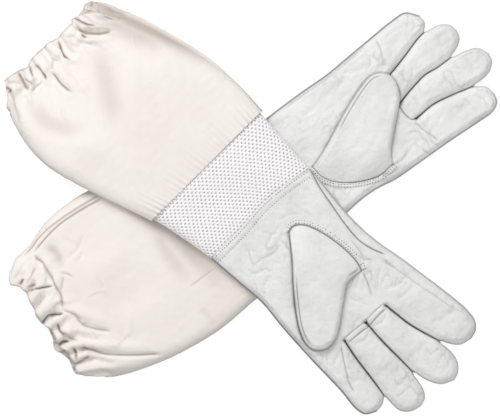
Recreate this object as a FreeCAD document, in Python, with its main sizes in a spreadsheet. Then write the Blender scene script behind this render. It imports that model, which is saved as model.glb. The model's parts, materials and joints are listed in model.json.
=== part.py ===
import FreeCAD, Part
import math
import os

import Sketcher
from FreeCAD import Placement, Rotation, Vector

# A pair of beekeeping gloves lying crossed on a table, palms up: leather hands, a ventilated
# mesh band at each wrist and a canvas sleeve with an elastic hem. Millimetres.
#
# Each glove is drawn in its own flat frame: the origin is where the mesh meets the leather,
# +X runs to the fingertips, +Y to the index side of a left glove, and +Z out of the palm.
# The right glove is the left one mirrored, so its +Y distances change sign.

DIMENSIONS = {
    # leather, mesh and canvas as they are cut
    "leather_thickness": 1.6,
    "cloth_thickness": 1.5,
    "elastic_thickness": 1.0,
    "joint_gap": 0.5,
    "stacking_gap": 0.2,
    # leather hand
    "hand_depth": 13.0,
    "binding_width": 9.0,
    "palm_mid_along": 60.0,
    "palm_mid_little": -62.5,
    "palm_mid_index": 56.0,
    "palm_top_along": 108.0,
    "palm_top_index": 58.0,
    "wrist_little": -64.0,
    "wrist_index": 61.5,
    "side_strip_width": 2.5,
    "topstitch_along": 13.0,
    "topstitch_length": 112.0,
    "thread_thickness": 0.5,
    # fingers: where each base line is, which way it points, and its size
    "finger_depth": 12.5,
    "index_along": 143.0, "index_across": 42.2, "index_angle": 7.0,
    "index_width": 39.5, "index_length": 80.5, "index_tip": 17.0,
    "middle_along": 146.0, "middle_across": 5.6, "middle_angle": 4.0,
    "middle_width": 31.5, "middle_length": 94.5, "middle_tip": 14.5,
    "ring_along": 146.0, "ring_across": -26.2, "ring_angle": -6.5,
    "ring_width": 30.5, "ring_length": 87.0, "ring_tip": 14.0,
    "little_along": 143.0, "little_across": -56.2, "little_angle": -7.0,
    "little_width": 27.5, "little_length": 67.0, "little_tip": 12.8,
    "left_finger_extra": 4.0, "right_finger_extra": -4.0,
    # thumb: a petal that lies across the palm, hinged along its base seam
    "thumb_along": 33.0,
    "thumb_across": 2.0,
    "thumb_angle": 17.3,
    "thumb_depth": 11.0,
    "thumb_lift": 0.6,
    "thumb_base_gap": 2.6,
    "thumb_seam_start": 9.0,
    "thumb_seam_length": 76.0,
    "thumb_outer_along": 57.0, "thumb_outer_out": 79.0,
    "thumb_end_along": 76.0, "thumb_end_out": 87.0,
    "thumb_inner_along": 84.0, "thumb_inner_out": 70.0,
    "thumb_waist_along": 72.0, "thumb_waist_out": 18.0,
    # stations down the sleeve: where, centre, width and depth of each flat-oval section
    "wrist_along": 0.0, "wrist_centre": -1.2, "wrist_width": 126.0, "wrist_depth": 13.0,
    "seam_along": -70.0, "seam_centre": -4.5, "seam_width": 147.0, "seam_depth": 14.0,
    "fold_along": -165.0, "fold_centre": -21.5, "fold_width": 176.0, "fold_depth": 16.0,
    "puff_along": -205.0, "puff_centre": -27.0, "puff_width": 166.0, "puff_depth": 25.0,
    "neck_along": -245.0, "neck_centre": -30.0, "neck_width": 136.0, "neck_depth": 22.0,
    "mouth_along": -264.0, "mouth_centre": -24.0, "mouth_width": 116.0, "mouth_depth": 20.0,
    # how the two gloves lie: the left one rests across the right one
    "left_place_x": 9.1, "left_place_y": -5.4, "left_heading": -44.0, "left_droop": 3.4,
    "right_place_x": 29.3, "right_place_y": 13.8, "right_heading": 36.0, "right_droop": 0.0,
    "left_wrist_lift": 18.6, "right_wrist_lift": 0.0,
    "left_seam_lift": 18.6, "right_seam_lift": 0.0,
    "left_fold_lift": 16.6, "right_fold_lift": 0.0,
    "left_puff_lift": 7.0, "right_puff_lift": 0.0,
    "left_neck_lift": 1.5, "right_neck_lift": 0.0,
    "left_mouth_lift": 0.5, "right_mouth_lift": 0.0,
}
SIDE = {"left": 1, "right": -1}
FINGERS = ("index", "middle", "ring", "little")

doc = FreeCAD.newDocument("beekeeping_gloves")
dims = doc.addObject("Spreadsheet::Sheet", "dims")
for row, (alias, number) in enumerate(DIMENSIONS.items(), start=1):
    dims.set(f"A{row}", alias)
    dims.set(f"B{row}", str(number))
    dims.setAlias(f"B{row}", alias)
doc.recompute()

parts = []


def size(alias):
    return float(dims.get(alias))


# ---- frames ----

def glove_frame(glove):
    place = Vector(size(f"{glove}_place_x"), size(f"{glove}_place_y"), 0)
    return Placement(place, Rotation(Vector(0, 0, 1), size(f"{glove}_heading")))


def hand_frame(glove):
    """The leather hand's frame: raised to the wrist and drooping towards the fingertips."""
    lift = Vector(0, 0, size(f"{glove}_wrist_lift"))
    return glove_frame(glove) * Placement(lift, Rotation(Vector(0, 1, 0), size(f"{glove}_droop")))


def limb_frame(glove, limb):
    """The frame of a finger or thumb, at the middle or start of its base line."""
    side = SIDE[glove]
    base = Vector(size(f"{limb}_along"), side * size(f"{limb}_across"), 0)
    return hand_frame(glove) * Placement(base, Rotation(Vector(0, 0, 1), side * size(f"{limb}_angle")))


# ---- sketch helpers ----

def new_body(glove, name, frame):
    body = doc.addObject("PartDesign::Body", f"{glove}_{name}")
    body.Label = f"{glove}_{name}"
    body.Placement = frame
    parts.append(body)
    return body


def new_sketch(body, name, role, offset):
    """A sketch on one of the body's own origin planes, moved along its normal by an expression."""
    sketch = body.newObject("Sketcher::SketchObject", name)
    plane = [feature for feature in body.Origin.OriginFeatures if feature.Role == role][0]
    sketch.AttachmentSupport = [(plane, "")]
    sketch.MapMode = "FlatFace"
    sketch.setExpression("AttachmentOffset.Base.z", offset)
    return sketch


def bind(sketch, constraint, name, expression):
    index = sketch.addConstraint(constraint)
    sketch.renameConstraint(index, name)
    sketch.setExpression(f"Constraints.{name}", expression)


def join_ends(sketch, first, second):
    sketch.addConstraint(Sketcher.Constraint("Coincident", first, 2, second, 1))


def pad(body, sketch, length):
    feature = body.newObject("PartDesign::Pad", f"{body.Name}_pad")
    feature.Profile = sketch
    feature.setExpression("Length", length)


def polygon(body, name, bottom, corners):
    """A closed outline of straight edges; each corner is a pair of expressions."""
    sketch = new_sketch(body, name, "XY_Plane", bottom)
    count = len(corners)
    spread = 100
    start = [Vector(spread * math.cos(2 * math.pi * n / count),
                    spread * math.sin(2 * math.pi * n / count), 0) for n in range(count)]
    for n in range(count):
        sketch.addGeometry(Part.LineSegment(start[n], start[(n + 1) % count]), False)
    for n in range(count):
        join_ends(sketch, n, (n + 1) % count)
    for n, (along, across) in enumerate(corners):
        bind(sketch, Sketcher.Constraint("DistanceX", -1, 1, n, 1, start[n].x), f"along_{n}", along)
        bind(sketch, Sketcher.Constraint("DistanceY", -1, 1, n, 1, start[n].y), f"across_{n}", across)
    return sketch


# ---- flat-oval tubes: band, sleeve, hem ----

def total(aliases):
    """Several dimensions added up, as a number and as an expression."""
    return sum(size(alias) for alias in aliases), " + ".join(["0"] + [f"dims.{alias}" for alias in aliases])


def oval(body, name, station, shift, lift, insets):
    """A flat oval across the glove: two straight sides and two half-round ends."""
    sketch = new_sketch(body, name, "YZ_Plane", f"dims.{station}_along + {shift}")
    side = SIDE[body.Name.split("_")[0]]
    inset, inset_sum = total(insets)
    rise, rise_sum = total(lift)
    round_size = size(f"{station}_depth") / 2
    radius = round_size - inset
    middle = rise + round_size
    centre = side * size(f"{station}_centre")
    reach = size(f"{station}_width") / 2 - round_size
    low, high = centre - reach, centre + reach
    bottom, top = middle - radius, middle + radius
    up = Vector(0, 0, 1)
    quarter = math.pi / 2
    far_round = Part.Circle(Vector(high, middle, 0), up, radius)
    near_round = Part.Circle(Vector(low, middle, 0), up, radius)
    sketch.addGeometry(Part.LineSegment(Vector(low, bottom, 0), Vector(high, bottom, 0)), False)
    sketch.addGeometry(Part.ArcOfCircle(far_round, -quarter, quarter), False)
    sketch.addGeometry(Part.LineSegment(Vector(high, top, 0), Vector(low, top, 0)), False)
    sketch.addGeometry(Part.ArcOfCircle(near_round, quarter, 3 * quarter), False)
    for edge in range(4):
        sketch.addConstraint(Sketcher.Constraint("Tangent", edge, 2, (edge + 1) % 4, 1))
    sketch.addConstraint(Sketcher.Constraint("Horizontal", 0))
    signed_centre = f"{side} * dims.{station}_centre"
    half_reach = f"(dims.{station}_width - dims.{station}_depth) / 2"
    bind(sketch, Sketcher.Constraint("Radius", 1, radius), "round",
         f"dims.{station}_depth / 2 - ({inset_sum})")
    bind(sketch, Sketcher.Constraint("DistanceX", -1, 1, 1, 3, high), "far_end",
         f"{signed_centre} + {half_reach}")
    bind(sketch, Sketcher.Constraint("DistanceX", -1, 1, 3, 3, low), "near_end",
         f"{signed_centre} - {half_reach}")
    bind(sketch, Sketcher.Constraint("DistanceY", -1, 1, 1, 3, middle), "height",
         f"{rise_sum} + dims.{station}_depth / 2")
    return sketch


def loft(body, kind, name, sections):
    feature = body.newObject(kind, name)
    feature.Profile = sections[0]
    feature.Sections = sections[1:]
    feature.Ruled = True


def tube(glove, name, stations, wall, frame, insets=(), raised=True):
    """A hollow tube through (station, shift) pairs, its wall measured in from the insets."""
    body = new_body(glove, name, frame)
    outer = []
    inner = []
    for n, (station, shift) in enumerate(stations):
        lift = [f"{glove}_{station}_lift"] if raised else []
        outer.append(oval(body, f"{name}_outer_{n}", station, shift, lift, insets))
        inner.append(oval(body, f"{name}_inner_{n}", station, shift, lift, [*insets, wall]))
    loft(body, "PartDesign::AdditiveLoft", f"{glove}_{name}_solid", outer)
    loft(body, "PartDesign::SubtractiveLoft", f"{glove}_{name}_hollow", inner)


def sleeve_parts(glove):
    frame = glove_frame(glove)
    cloth = "cloth_thickness"
    gap = "dims.joint_gap"
    tube(glove, "mesh_band", [("wrist", f"-{gap}"), ("seam", gap)], cloth, frame)
    tube(glove, "canvas_sleeve", [("seam", f"-{gap}"), ("fold", gap)], cloth, frame)
    tube(glove, "sleeve_end", [("fold", f"-{gap}"), ("puff", "0"), ("neck", "0")], cloth, frame)
    tube(glove, "hem_casing", [("neck", "-dims.stacking_gap"), ("mouth", "0")], cloth, frame)
    tube(glove, "elastic_band", [("neck", f"-{gap}"), ("mouth", gap)], "elastic_thickness", frame,
         insets=[cloth, "stacking_gap"])


def stitched_ring(glove):
    """The row of thread that closes the gathered canvas on to the mesh."""
    gap = "dims.joint_gap / 2"
    tube(glove, "gathering_stitch", [("seam", f"-{gap}"), ("seam", gap)], "thread_thickness",
         glove_frame(glove), insets=["thread_thickness"])


# ---- leather hand ----

def finger_corner(finger, end, side):
    """One corner of the palm's far edge: an end of a finger's base line, set back by the gap."""
    reach = f"{end} * dims.{finger}_width / 2"
    along = (f"dims.{finger}_along - dims.joint_gap * cos(dims.{finger}_angle)"
             f" - {reach} * sin(dims.{finger}_angle)")
    across = (f"dims.{finger}_across - dims.joint_gap * sin(dims.{finger}_angle)"
              f" + {reach} * cos(dims.{finger}_angle)")
    return along, f"{side} * ({across})"


def hand_outline(glove):
    side = SIDE[glove]
    start = "dims.binding_width + dims.joint_gap"
    corners = [(start, f"{side} * dims.wrist_little"),
               ("dims.palm_mid_along", f"{side} * dims.palm_mid_little")]
    for finger in reversed(FINGERS):
        corners.append(finger_corner(finger, -1, side))
        corners.append(finger_corner(finger, 1, side))
    corners.append(("dims.palm_top_along", f"{side} * dims.palm_top_index"))
    corners.append(("dims.palm_mid_along", f"{side} * dims.palm_mid_index"))
    corners.append((start, f"{side} * dims.wrist_index"))
    return corners


def hand_panel(glove, name, bottom):
    body = new_body(glove, name, hand_frame(glove))
    sketch = polygon(body, f"{name}_outline", bottom, hand_outline(glove))
    pad(body, sketch, "dims.leather_thickness")


def side_strip(glove, name, edge, inward):
    """A strip of leather standing between the back and palm panels along one edge."""
    body = new_body(glove, name, hand_frame(glove))
    inner = [(along, f"{across} + {inward} * dims.side_strip_width") for along, across in edge]
    bottom = "dims.leather_thickness + dims.stacking_gap"
    sketch = polygon(body, f"{name}_outline", bottom, edge + inner[::-1])
    pad(body, sketch, "dims.hand_depth - 2 * (dims.leather_thickness + dims.stacking_gap)")


def wrist_topstitch(glove):
    """The row of stitches across the palm beside the folded wrist edge."""
    box = doc.addObject("Part::Box", f"{glove}_wrist_topstitch")
    box.Label = f"{glove}_wrist_topstitch"
    box.setExpression("Length", "dims.thread_thickness * 2")
    box.setExpression("Width", "dims.topstitch_length")
    box.setExpression("Height", "dims.thread_thickness")
    middle = SIDE[glove] * size("wrist_centre") - size("topstitch_length") / 2
    corner = Vector(size("topstitch_along"), middle, size("hand_depth"))
    box.Placement = hand_frame(glove) * Placement(corner, Rotation())
    parts.append(box)


def hand_parts(glove):
    side = SIDE[glove]
    outline = hand_outline(glove)
    hand_panel(glove, "back_panel", "0")
    hand_panel(glove, "palm_panel", "dims.hand_depth - dims.leather_thickness")
    side_strip(glove, "little_side_strip", outline[:3], side)
    side_strip(glove, "index_side_strip", outline[-4:], -side)
    tube(glove, "wrist_binding", [("wrist", "dims.joint_gap / 2"), ("wrist", "dims.binding_width")],
         "leather_thickness", hand_frame(glove), raised=False)
    wrist_topstitch(glove)


# ---- fingers ----

def finger_outline(body, name, finger, bottom, inset, hollow):
    """A tapered strip with a round tip. A hollow one is only the wall, inset wide, round it."""
    sketch = new_sketch(body, name, "XY_Plane", bottom)
    glove = body.Name.split("_")[0]
    start = size("joint_gap")
    half = size(f"{finger}_width") / 2
    tip = size(f"{finger}_tip")
    centre = size(f"{finger}_length") + size(f"{glove}_finger_extra") - tip
    up = Vector(0, 0, 1)
    quarter = math.pi / 2

    def loop(offset, first):
        low, high = -half + offset, half - offset
        end = Part.Circle(Vector(centre, 0, 0), up, tip - offset)
        sketch.addGeometry(Part.LineSegment(Vector(start, low, 0), Vector(centre, offset - tip, 0)), False)
        sketch.addGeometry(Part.ArcOfCircle(end, -quarter, quarter), False)
        sketch.addGeometry(Part.LineSegment(Vector(centre, tip - offset, 0), Vector(start, high, 0)), False)
        sketch.addConstraint(Sketcher.Constraint("Tangent", first, 2, first + 1, 1))
        sketch.addConstraint(Sketcher.Constraint("Tangent", first + 1, 2, first + 2, 1))
        return low, high

    def bind_loop(number, offset_size, offset, low, high):
        first = 3 * number
        label = ("outer", "inner")[number]
        bind(sketch, Sketcher.Constraint("Radius", first + 1, tip - offset_size), f"{label}_tip",
             f"dims.{finger}_tip - {offset}")
        bind(sketch, Sketcher.Constraint("DistanceX", -1, 1, first + 1, 3, centre), f"{label}_reach",
             f"dims.{finger}_length + dims.{glove}_finger_extra - dims.{finger}_tip")
        sketch.addConstraint(Sketcher.Constraint("PointOnObject", first + 1, 3, -1))
        for corner, geometry, point, value, sign in (("low", first, 1, low, "-"),
                                                     ("high", first + 2, 2, high, "")):
            bind(sketch, Sketcher.Constraint("DistanceX", -1, 1, geometry, point, start),
                 f"{label}_{corner}_start", "dims.joint_gap")
            bind(sketch, Sketcher.Constraint("DistanceY", -1, 1, geometry, point, value),
                 f"{label}_{corner}_half", f"{sign}(dims.{finger}_width / 2 - {offset})")

    low, high = loop(0, 0)
    if not hollow:
        sketch.addGeometry(Part.LineSegment(Vector(start, high, 0), Vector(start, low, 0)), False)
        join_ends(sketch, 2, 3)
        join_ends(sketch, 3, 0)
        bind_loop(0, 0, "0", low, high)
        return sketch
    inner_low, inner_high = loop(inset, 3)
    sketch.addGeometry(Part.LineSegment(Vector(start, high, 0), Vector(start, inner_high, 0)), False)
    sketch.addGeometry(Part.LineSegment(Vector(start, inner_low, 0), Vector(start, low, 0)), False)
    sketch.addConstraint(Sketcher.Constraint("Coincident", 2, 2, 6, 1))
    sketch.addConstraint(Sketcher.Constraint("Coincident", 6, 2, 5, 2))
    sketch.addConstraint(Sketcher.Constraint("Coincident", 3, 1, 7, 1))
    sketch.addConstraint(Sketcher.Constraint("Coincident", 7, 2, 0, 1))
    bind_loop(0, 0, "0", low, high)
    bind_loop(1, inset, "dims.side_strip_width", inner_low, inner_high)
    return sketch


def finger_parts(glove, finger):
    frame = limb_frame(glove, finger)
    wall = size("side_strip_width")
    stack = "(dims.leather_thickness + dims.stacking_gap)"
    for name, bottom, thickness, hollow in (
            ("back", "0", "dims.leather_thickness", False),
            ("front", "dims.finger_depth - dims.leather_thickness", "dims.leather_thickness", False),
            ("sidewall", stack, f"dims.finger_depth - 2 * {stack}", True)):
        body = new_body(glove, f"{finger}_{name}", frame)
        sketch = finger_outline(body, f"{finger}_{name}_outline", finger, bottom, wall, hollow)
        pad(body, sketch, thickness)


# ---- thumb ----

def thumb_corners(glove, narrower):
    """The petal's corners from the start of the seam round the tip.

    Each row is a corner and how far it moves in, along and across, to make the petal narrower.
    """
    down = -SIDE[glove]
    gap = "dims.thumb_base_gap"
    points = [("dims.thumb_seam_start", gap, 1, 0),
              ("dims.thumb_outer_along", "dims.thumb_outer_out", 1, -0.3),
              ("dims.thumb_end_along", "dims.thumb_end_out", 0, -1),
              ("dims.thumb_inner_along", "dims.thumb_inner_out", -1, -0.3),
              ("dims.thumb_waist_along", "dims.thumb_waist_out", -1, 0),
              ("dims.thumb_seam_length", gap, -1, 0)]
    return [(f"{along} + {across_shrink} * {narrower}", f"{down} * ({out} + {out_shrink} * {narrower})")
            for along, out, across_shrink, out_shrink in points]


def thumb_parts(glove):
    frame = limb_frame(glove, "thumb")
    stack = "(dims.leather_thickness + dims.stacking_gap)"
    base = "dims.hand_depth + dims.thumb_lift"
    for name, bottom in (("thumb_back", base),
                         ("thumb_front", f"{base} + dims.thumb_depth - dims.leather_thickness")):
        body = new_body(glove, name, frame)
        sketch = polygon(body, f"{name}_outline", bottom, thumb_corners(glove, "0"))
        pad(body, sketch, "dims.leather_thickness")
    body = new_body(glove, "thumb_sidewall", frame)
    outer = thumb_corners(glove, "0")
    inner = thumb_corners(glove, "dims.side_strip_width")
    sketch = polygon(body, "thumb_sidewall_outline", f"{base} + {stack}", outer + inner[::-1])
    pad(body, sketch, f"dims.thumb_depth - 2 * {stack}")


# ---- the pair ----

for glove_name in SIDE:
    sleeve_parts(glove_name)
    stitched_ring(glove_name)
    hand_parts(glove_name)
    for finger_name in FINGERS:
        finger_parts(glove_name, finger_name)
    thumb_parts(glove_name)

doc.recompute()
for item in doc.Objects:
    if "Invalid" in item.State or "Error" in item.State:
        raise RuntimeError(f"{item.Name} did not recompute: {item.State}")
for part in parts:
    if part.Shape.isNull() or not part.Shape.isValid():
        raise RuntimeError(f"{part.Label} has no valid shape")

os.makedirs("parts", exist_ok=True)
for part in parts:
    part.Shape.exportStep(f"parts/{part.Label}.step")
whole = Part.makeCompound([part.Shape for part in parts]).BoundBox
print(f"{len(parts)} sub-parts, {whole.XLength:.1f} x {whole.YLength:.1f} x {whole.ZLength:.1f} mm")
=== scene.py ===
import json
import math

import bpy
import numpy as np
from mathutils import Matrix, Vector
from mathutils.bvhtree import BVHTree
from mathutils.geometry import delaunay_2d_cdt


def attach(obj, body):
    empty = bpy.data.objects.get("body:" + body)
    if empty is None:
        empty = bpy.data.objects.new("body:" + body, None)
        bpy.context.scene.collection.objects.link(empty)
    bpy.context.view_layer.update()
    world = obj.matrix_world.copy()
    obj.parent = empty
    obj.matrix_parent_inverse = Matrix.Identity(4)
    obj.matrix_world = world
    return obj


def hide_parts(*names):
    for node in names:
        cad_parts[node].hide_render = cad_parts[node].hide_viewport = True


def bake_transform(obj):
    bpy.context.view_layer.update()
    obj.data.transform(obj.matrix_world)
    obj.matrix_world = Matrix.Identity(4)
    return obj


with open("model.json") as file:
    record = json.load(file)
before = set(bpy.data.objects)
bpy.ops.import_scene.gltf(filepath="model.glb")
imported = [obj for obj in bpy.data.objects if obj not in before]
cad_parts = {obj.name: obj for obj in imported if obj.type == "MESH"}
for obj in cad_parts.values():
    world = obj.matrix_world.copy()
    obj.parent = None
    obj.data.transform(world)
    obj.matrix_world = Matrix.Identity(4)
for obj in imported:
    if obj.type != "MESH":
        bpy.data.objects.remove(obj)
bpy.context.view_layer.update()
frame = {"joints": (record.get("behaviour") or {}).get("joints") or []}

# A pair of beekeeping gloves, crossed, palms up. Shapes are worked out in millimetres in each
# glove's flat frame: origin at the wrist seam, +X to the fingertips, +Y to the index side,
# +Z out of the palm. The right glove is mirrored as it goes into the row frame.

MM = 0.001
joints = {joint["name"]: joint for joint in frame["joints"]}


# ---------------------------------------------------------------- lines and distances
def curve(points, step=1.3):
    """A smooth line through the points, with a place about every `step`."""
    p = np.asarray(points, float)
    p = np.vstack([2 * p[0] - p[1], p, 2 * p[-1] - p[-2]])
    out = []
    for i in range(1, len(p) - 2):
        a, b, c, d = p[i - 1:i + 3]
        k1 = max(np.linalg.norm(b - a), 1e-6) ** 0.5
        k2 = k1 + max(np.linalg.norm(c - b), 1e-6) ** 0.5
        k3 = k2 + max(np.linalg.norm(d - c), 1e-6) ** 0.5
        count = max(1, int(round(np.linalg.norm(c - b) / step)))
        t = np.linspace(k1, k2, count, endpoint=False)[:, None]
        ab = (k1 - t) / k1 * a + t / k1 * b
        bc = (k2 - t) / (k2 - k1) * b + (t - k1) / (k2 - k1) * c
        cd = (k3 - t) / (k3 - k2) * c + (t - k2) / (k3 - k2) * d
        abc = (k2 - t) / k2 * ab + t / k2 * bc
        bcd = (k3 - t) / (k3 - k1) * bc + (t - k1) / (k3 - k1) * cd
        out.append((k2 - t) / (k2 - k1) * abc + (t - k1) / (k2 - k1) * bcd)
    out.append(p[-2][None, :])
    return np.vstack(out)


def unit(vectors, least=1e-9):
    """The vectors, each 1 long."""
    return vectors / np.maximum(np.linalg.norm(vectors, axis=-1), least)[..., None]


def lengths(line):
    """Distance along the line at each of its places."""
    steps = np.linalg.norm(np.diff(line, axis=0), axis=1)
    return np.concatenate([[0.0], np.cumsum(steps)])


def resample(line, count):
    """The line at `count` evenly spaced places."""
    along = lengths(line)
    at = np.linspace(0, along[-1], count)
    return np.column_stack([np.interp(at, along, line[:, k]) for k in range(line.shape[1])])


def away(points, line):
    """Distance to the line, distance along it, and the side, + on its left, for each point."""
    start, run = line[:-1], np.diff(line, axis=0)
    square = np.maximum((run ** 2).sum(1), 1e-12)
    size = np.sqrt(square)
    along = lengths(line)[:-1]
    far, at, side = np.empty(len(points)), np.empty(len(points)), np.empty(len(points))
    for first in range(0, len(points), 4000):
        p = points[first:first + 4000]
        dx = p[:, 0:1] - start[None, :, 0]
        dy = p[:, 1:2] - start[None, :, 1]
        t = np.clip((dx * run[:, 0] + dy * run[:, 1]) / square, 0, 1)
        gap = (dx - t * run[:, 0]) ** 2 + (dy - t * run[:, 1]) ** 2
        best = gap.argmin(1)
        row = np.arange(len(p))
        far[first:first + 4000] = np.sqrt(gap[row, best])
        at[first:first + 4000] = along[best] + t[row, best] * size[best]
        side[first:first + 4000] = np.sign(
            run[best, 0] * dy[row, best] - run[best, 1] * dx[row, best])
    return far, at, side


def inside(points, loop):
    """Whether each point is inside the closed loop."""
    a, b = loop, np.roll(loop, -1, axis=0)
    rise = np.where(np.abs(b[:, 1] - a[:, 1]) < 1e-12, 1e-12, b[:, 1] - a[:, 1])
    odd = np.zeros(len(points), bool)
    for first in range(0, len(points), 4000):
        p = points[first:first + 4000]
        between = (a[None, :, 1] > p[:, 1:2]) != (b[None, :, 1] > p[:, 1:2])
        cross = a[None, :, 0] + (p[:, 1:2] - a[None, :, 1]) * ((b - a)[:, 0] / rise)[None, :]
        odd[first:first + 4000] = (between & (p[:, 0:1] < cross)).sum(1) % 2 == 1
    return odd


def beside(line, offset):
    """The line moved `offset` to its left."""
    run = unit(np.gradient(line, axis=0))
    return line + offset * np.column_stack([-run[:, 1], run[:, 0]])


def towards(line, other, slit):
    """The places, moved towards the other line where they are close, to leave a slit."""
    gap = np.linalg.norm(line[:, None, :] - other[None, :, :], axis=2)
    near = other[gap.argmin(1)]
    far = distance(line, other)
    step = np.maximum(far - slit, 0) / 2 * (1 - ease((far - 1.6) / 1.2))
    way = near - line
    return line + way * (step / np.maximum(np.linalg.norm(way, axis=1), 0.1))[:, None]


def ease(x):
    """0 below 0 and 1 above 1, with a smooth rise between."""
    x = np.clip(x, 0, 1)
    return x * x * (3 - 2 * x)


def bell(x):
    """1 at 0, and nothing a few units away."""
    return np.exp(-x ** 2)


def distance(points, line):
    """Distance to the line for each point."""
    return away(points, line)[0]


def tapered(points, line, soft, start):
    """Distance to the line, and a share that eases off within `soft` of the line's two ends."""
    far, along, _ = away(points, line)
    total = lengths(line)[-1]
    return far, ease(along / soft + start) * ease((total - along) / soft + start)


def clear_of(points, lines, gap):
    """The points that are more than `gap` from every line."""
    for line in lines:
        if len(points):
            points = points[distance(points, line) > gap]
    return points


def waves(points, size, seed, stretch=(1.0, 1.0), turn=0.0):
    """Smooth, unrepeating ups and downs from -1 to 1 with hills about `size` across."""
    generator = np.random.default_rng(seed)
    c, s = math.cos(turn), math.sin(turn)
    x = (points[:, 0] * c + points[:, 1] * s) / (size * stretch[0])
    y = (-points[:, 0] * s + points[:, 1] * c) / (size * stretch[1])
    total = np.zeros(len(points))
    for _ in range(9):
        angle, phase = generator.uniform(0, 2 * math.pi, 2)
        rate = generator.uniform(0.55, 1.6) * math.pi
        total += np.sin(rate * (x * math.cos(angle) + y * math.sin(angle)) + phase)
    return total / 4.5


# ---------------------------------------------------------------- the two gloves in the row
# Heights, in mm, of the underside of the upper glove at places along it.
UPPER_LIFT = [(-300, 0.3), (-264, 0.5), (-245, 1.5), (-205, 7), (-165, 16.6), (-120, 18.4),
              (-70, 18.6), (0, 18.6), (60, 15.0), (146, 9.6), (190, 5.8), (240, 0.4), (260, 0)]


def lift_table():
    x = np.arange(-330.0, 290.0)
    z = np.interp(x, *np.array(UPPER_LIFT, float).T)
    kernel = np.hanning(41)
    padded = np.pad(z, 20, mode="edge")
    return x, np.convolve(padded, kernel / kernel.sum(), mode="valid")


LIFT_X, LIFT_Z = lift_table()


class Glove:
    """One glove: its name, which hand it is, and how it lies in the row."""

    def __init__(self, name, side, lifted, shapes):
        self.name, self.side, self.lifted, self.shapes = name, side, lifted, shapes
        fold = joints[name + "_cuff_fold"]
        axis, place = fold["axis"], fold["pos_m"]
        self.heading = math.atan2(-axis[0], axis[1])
        c, s = math.cos(self.heading), math.sin(self.heading)
        self.turn = np.array([[c, -s], [s, c]])
        fold_point = np.array([-165.0, side * -21.5])    # the cuff's hinge, in the glove's frame
        self.origin = np.array(place[:2]) * 1000 - self.turn @ fold_point

    def lift(self, x):
        return np.interp(x, LIFT_X, LIFT_Z) if self.lifted else np.zeros_like(x)

    def to_row(self, points):
        """Local millimetres to metres in the row frame."""
        p = np.asarray(points, float)
        flat = np.column_stack([p[:, 0], p[:, 1] * self.side]) @ self.turn.T + self.origin
        return np.column_stack([flat, p[:, 2] + self.lift(p[:, 0])]) * MM

    def body(self, part):
        return self.name + "_" + part

    def facing(self, faces):
        """The faces, turned over on the mirrored glove so that they still face out."""
        return faces[:, ::-1] if self.side < 0 else faces

    def pick(self, left_value, right_value):
        return left_value if self.side > 0 else right_value


# ---------------------------------------------------------------- meshes
def face_normals(verts, faces):
    """Area-weighted normal at each vertex."""
    total = np.zeros_like(verts)
    for fan in ((0, 1, 2), (0, 2, 3)) if faces.shape[1] == 4 else ((0, 1, 2),):
        a, b, c = (verts[faces[:, k]] for k in fan)
        n = np.cross(b - a, c - a)
        for k in fan:
            np.add.at(total, faces[:, k], n)
    return unit(total, 1e-15)


def piece(glove, name, verts, faces, material, normals=None, local=True, crease=None):
    """A smooth mesh object in the row frame, from vertices in local millimetres. The mask, 0 to 1 a
    vertex, is painted shade in folds, slits and hollows, with dark seam lines, which the material
    darkens."""
    if local:
        verts, faces = glove.to_row(verts), glove.facing(faces)
    mesh = bpy.data.meshes.new(name)
    mesh.from_pydata(verts.tolist(), [], faces.tolist())
    mesh.polygons.foreach_set("use_smooth", np.ones(len(mesh.polygons), bool))
    mesh.materials.append(material)
    mesh.update()
    # the mask: painted shade in folds, slits and hollows, and dark seam lines
    if crease is not None:
        layer = mesh.attributes.new("crease", "FLOAT", "POINT")
        layer.data.foreach_set("value", np.clip(crease, 0, 1).astype(np.float32))
    if normals is not None:
        mesh.normals_split_custom_set_from_vertices(normals.tolist())
    obj = bpy.data.objects.new(name, mesh)
    bpy.context.scene.collection.objects.link(obj)
    return obj


def grid_faces(rows, columns):
    """Quads of a grid of vertices, ring by ring, each ring joined round."""
    r, c = np.meshgrid(np.arange(rows - 1), np.arange(columns), indexing="ij")
    r, c = r.ravel(), c.ravel()
    d = (c + 1) % columns
    return np.column_stack([r * columns + c, r * columns + d,
                            (r + 1) * columns + d, (r + 1) * columns + c])


def tube(glove, name, grid, material, **settings):
    """A mesh object from a grid of rings in local millimetres."""
    return piece(glove, glove.body(name), grid.reshape(-1, 3), grid_faces(*grid.shape[:2]),
                 material, **settings)


def triangulate(points, edges):
    """Delaunay triangles of the points that keep the edges."""
    result = delaunay_2d_cdt([Vector(p) for p in points.tolist()], edges, [], 0, 1e-4)
    verts = np.array([list(v) for v in result[0]])
    return verts, np.array(result[2])


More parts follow.
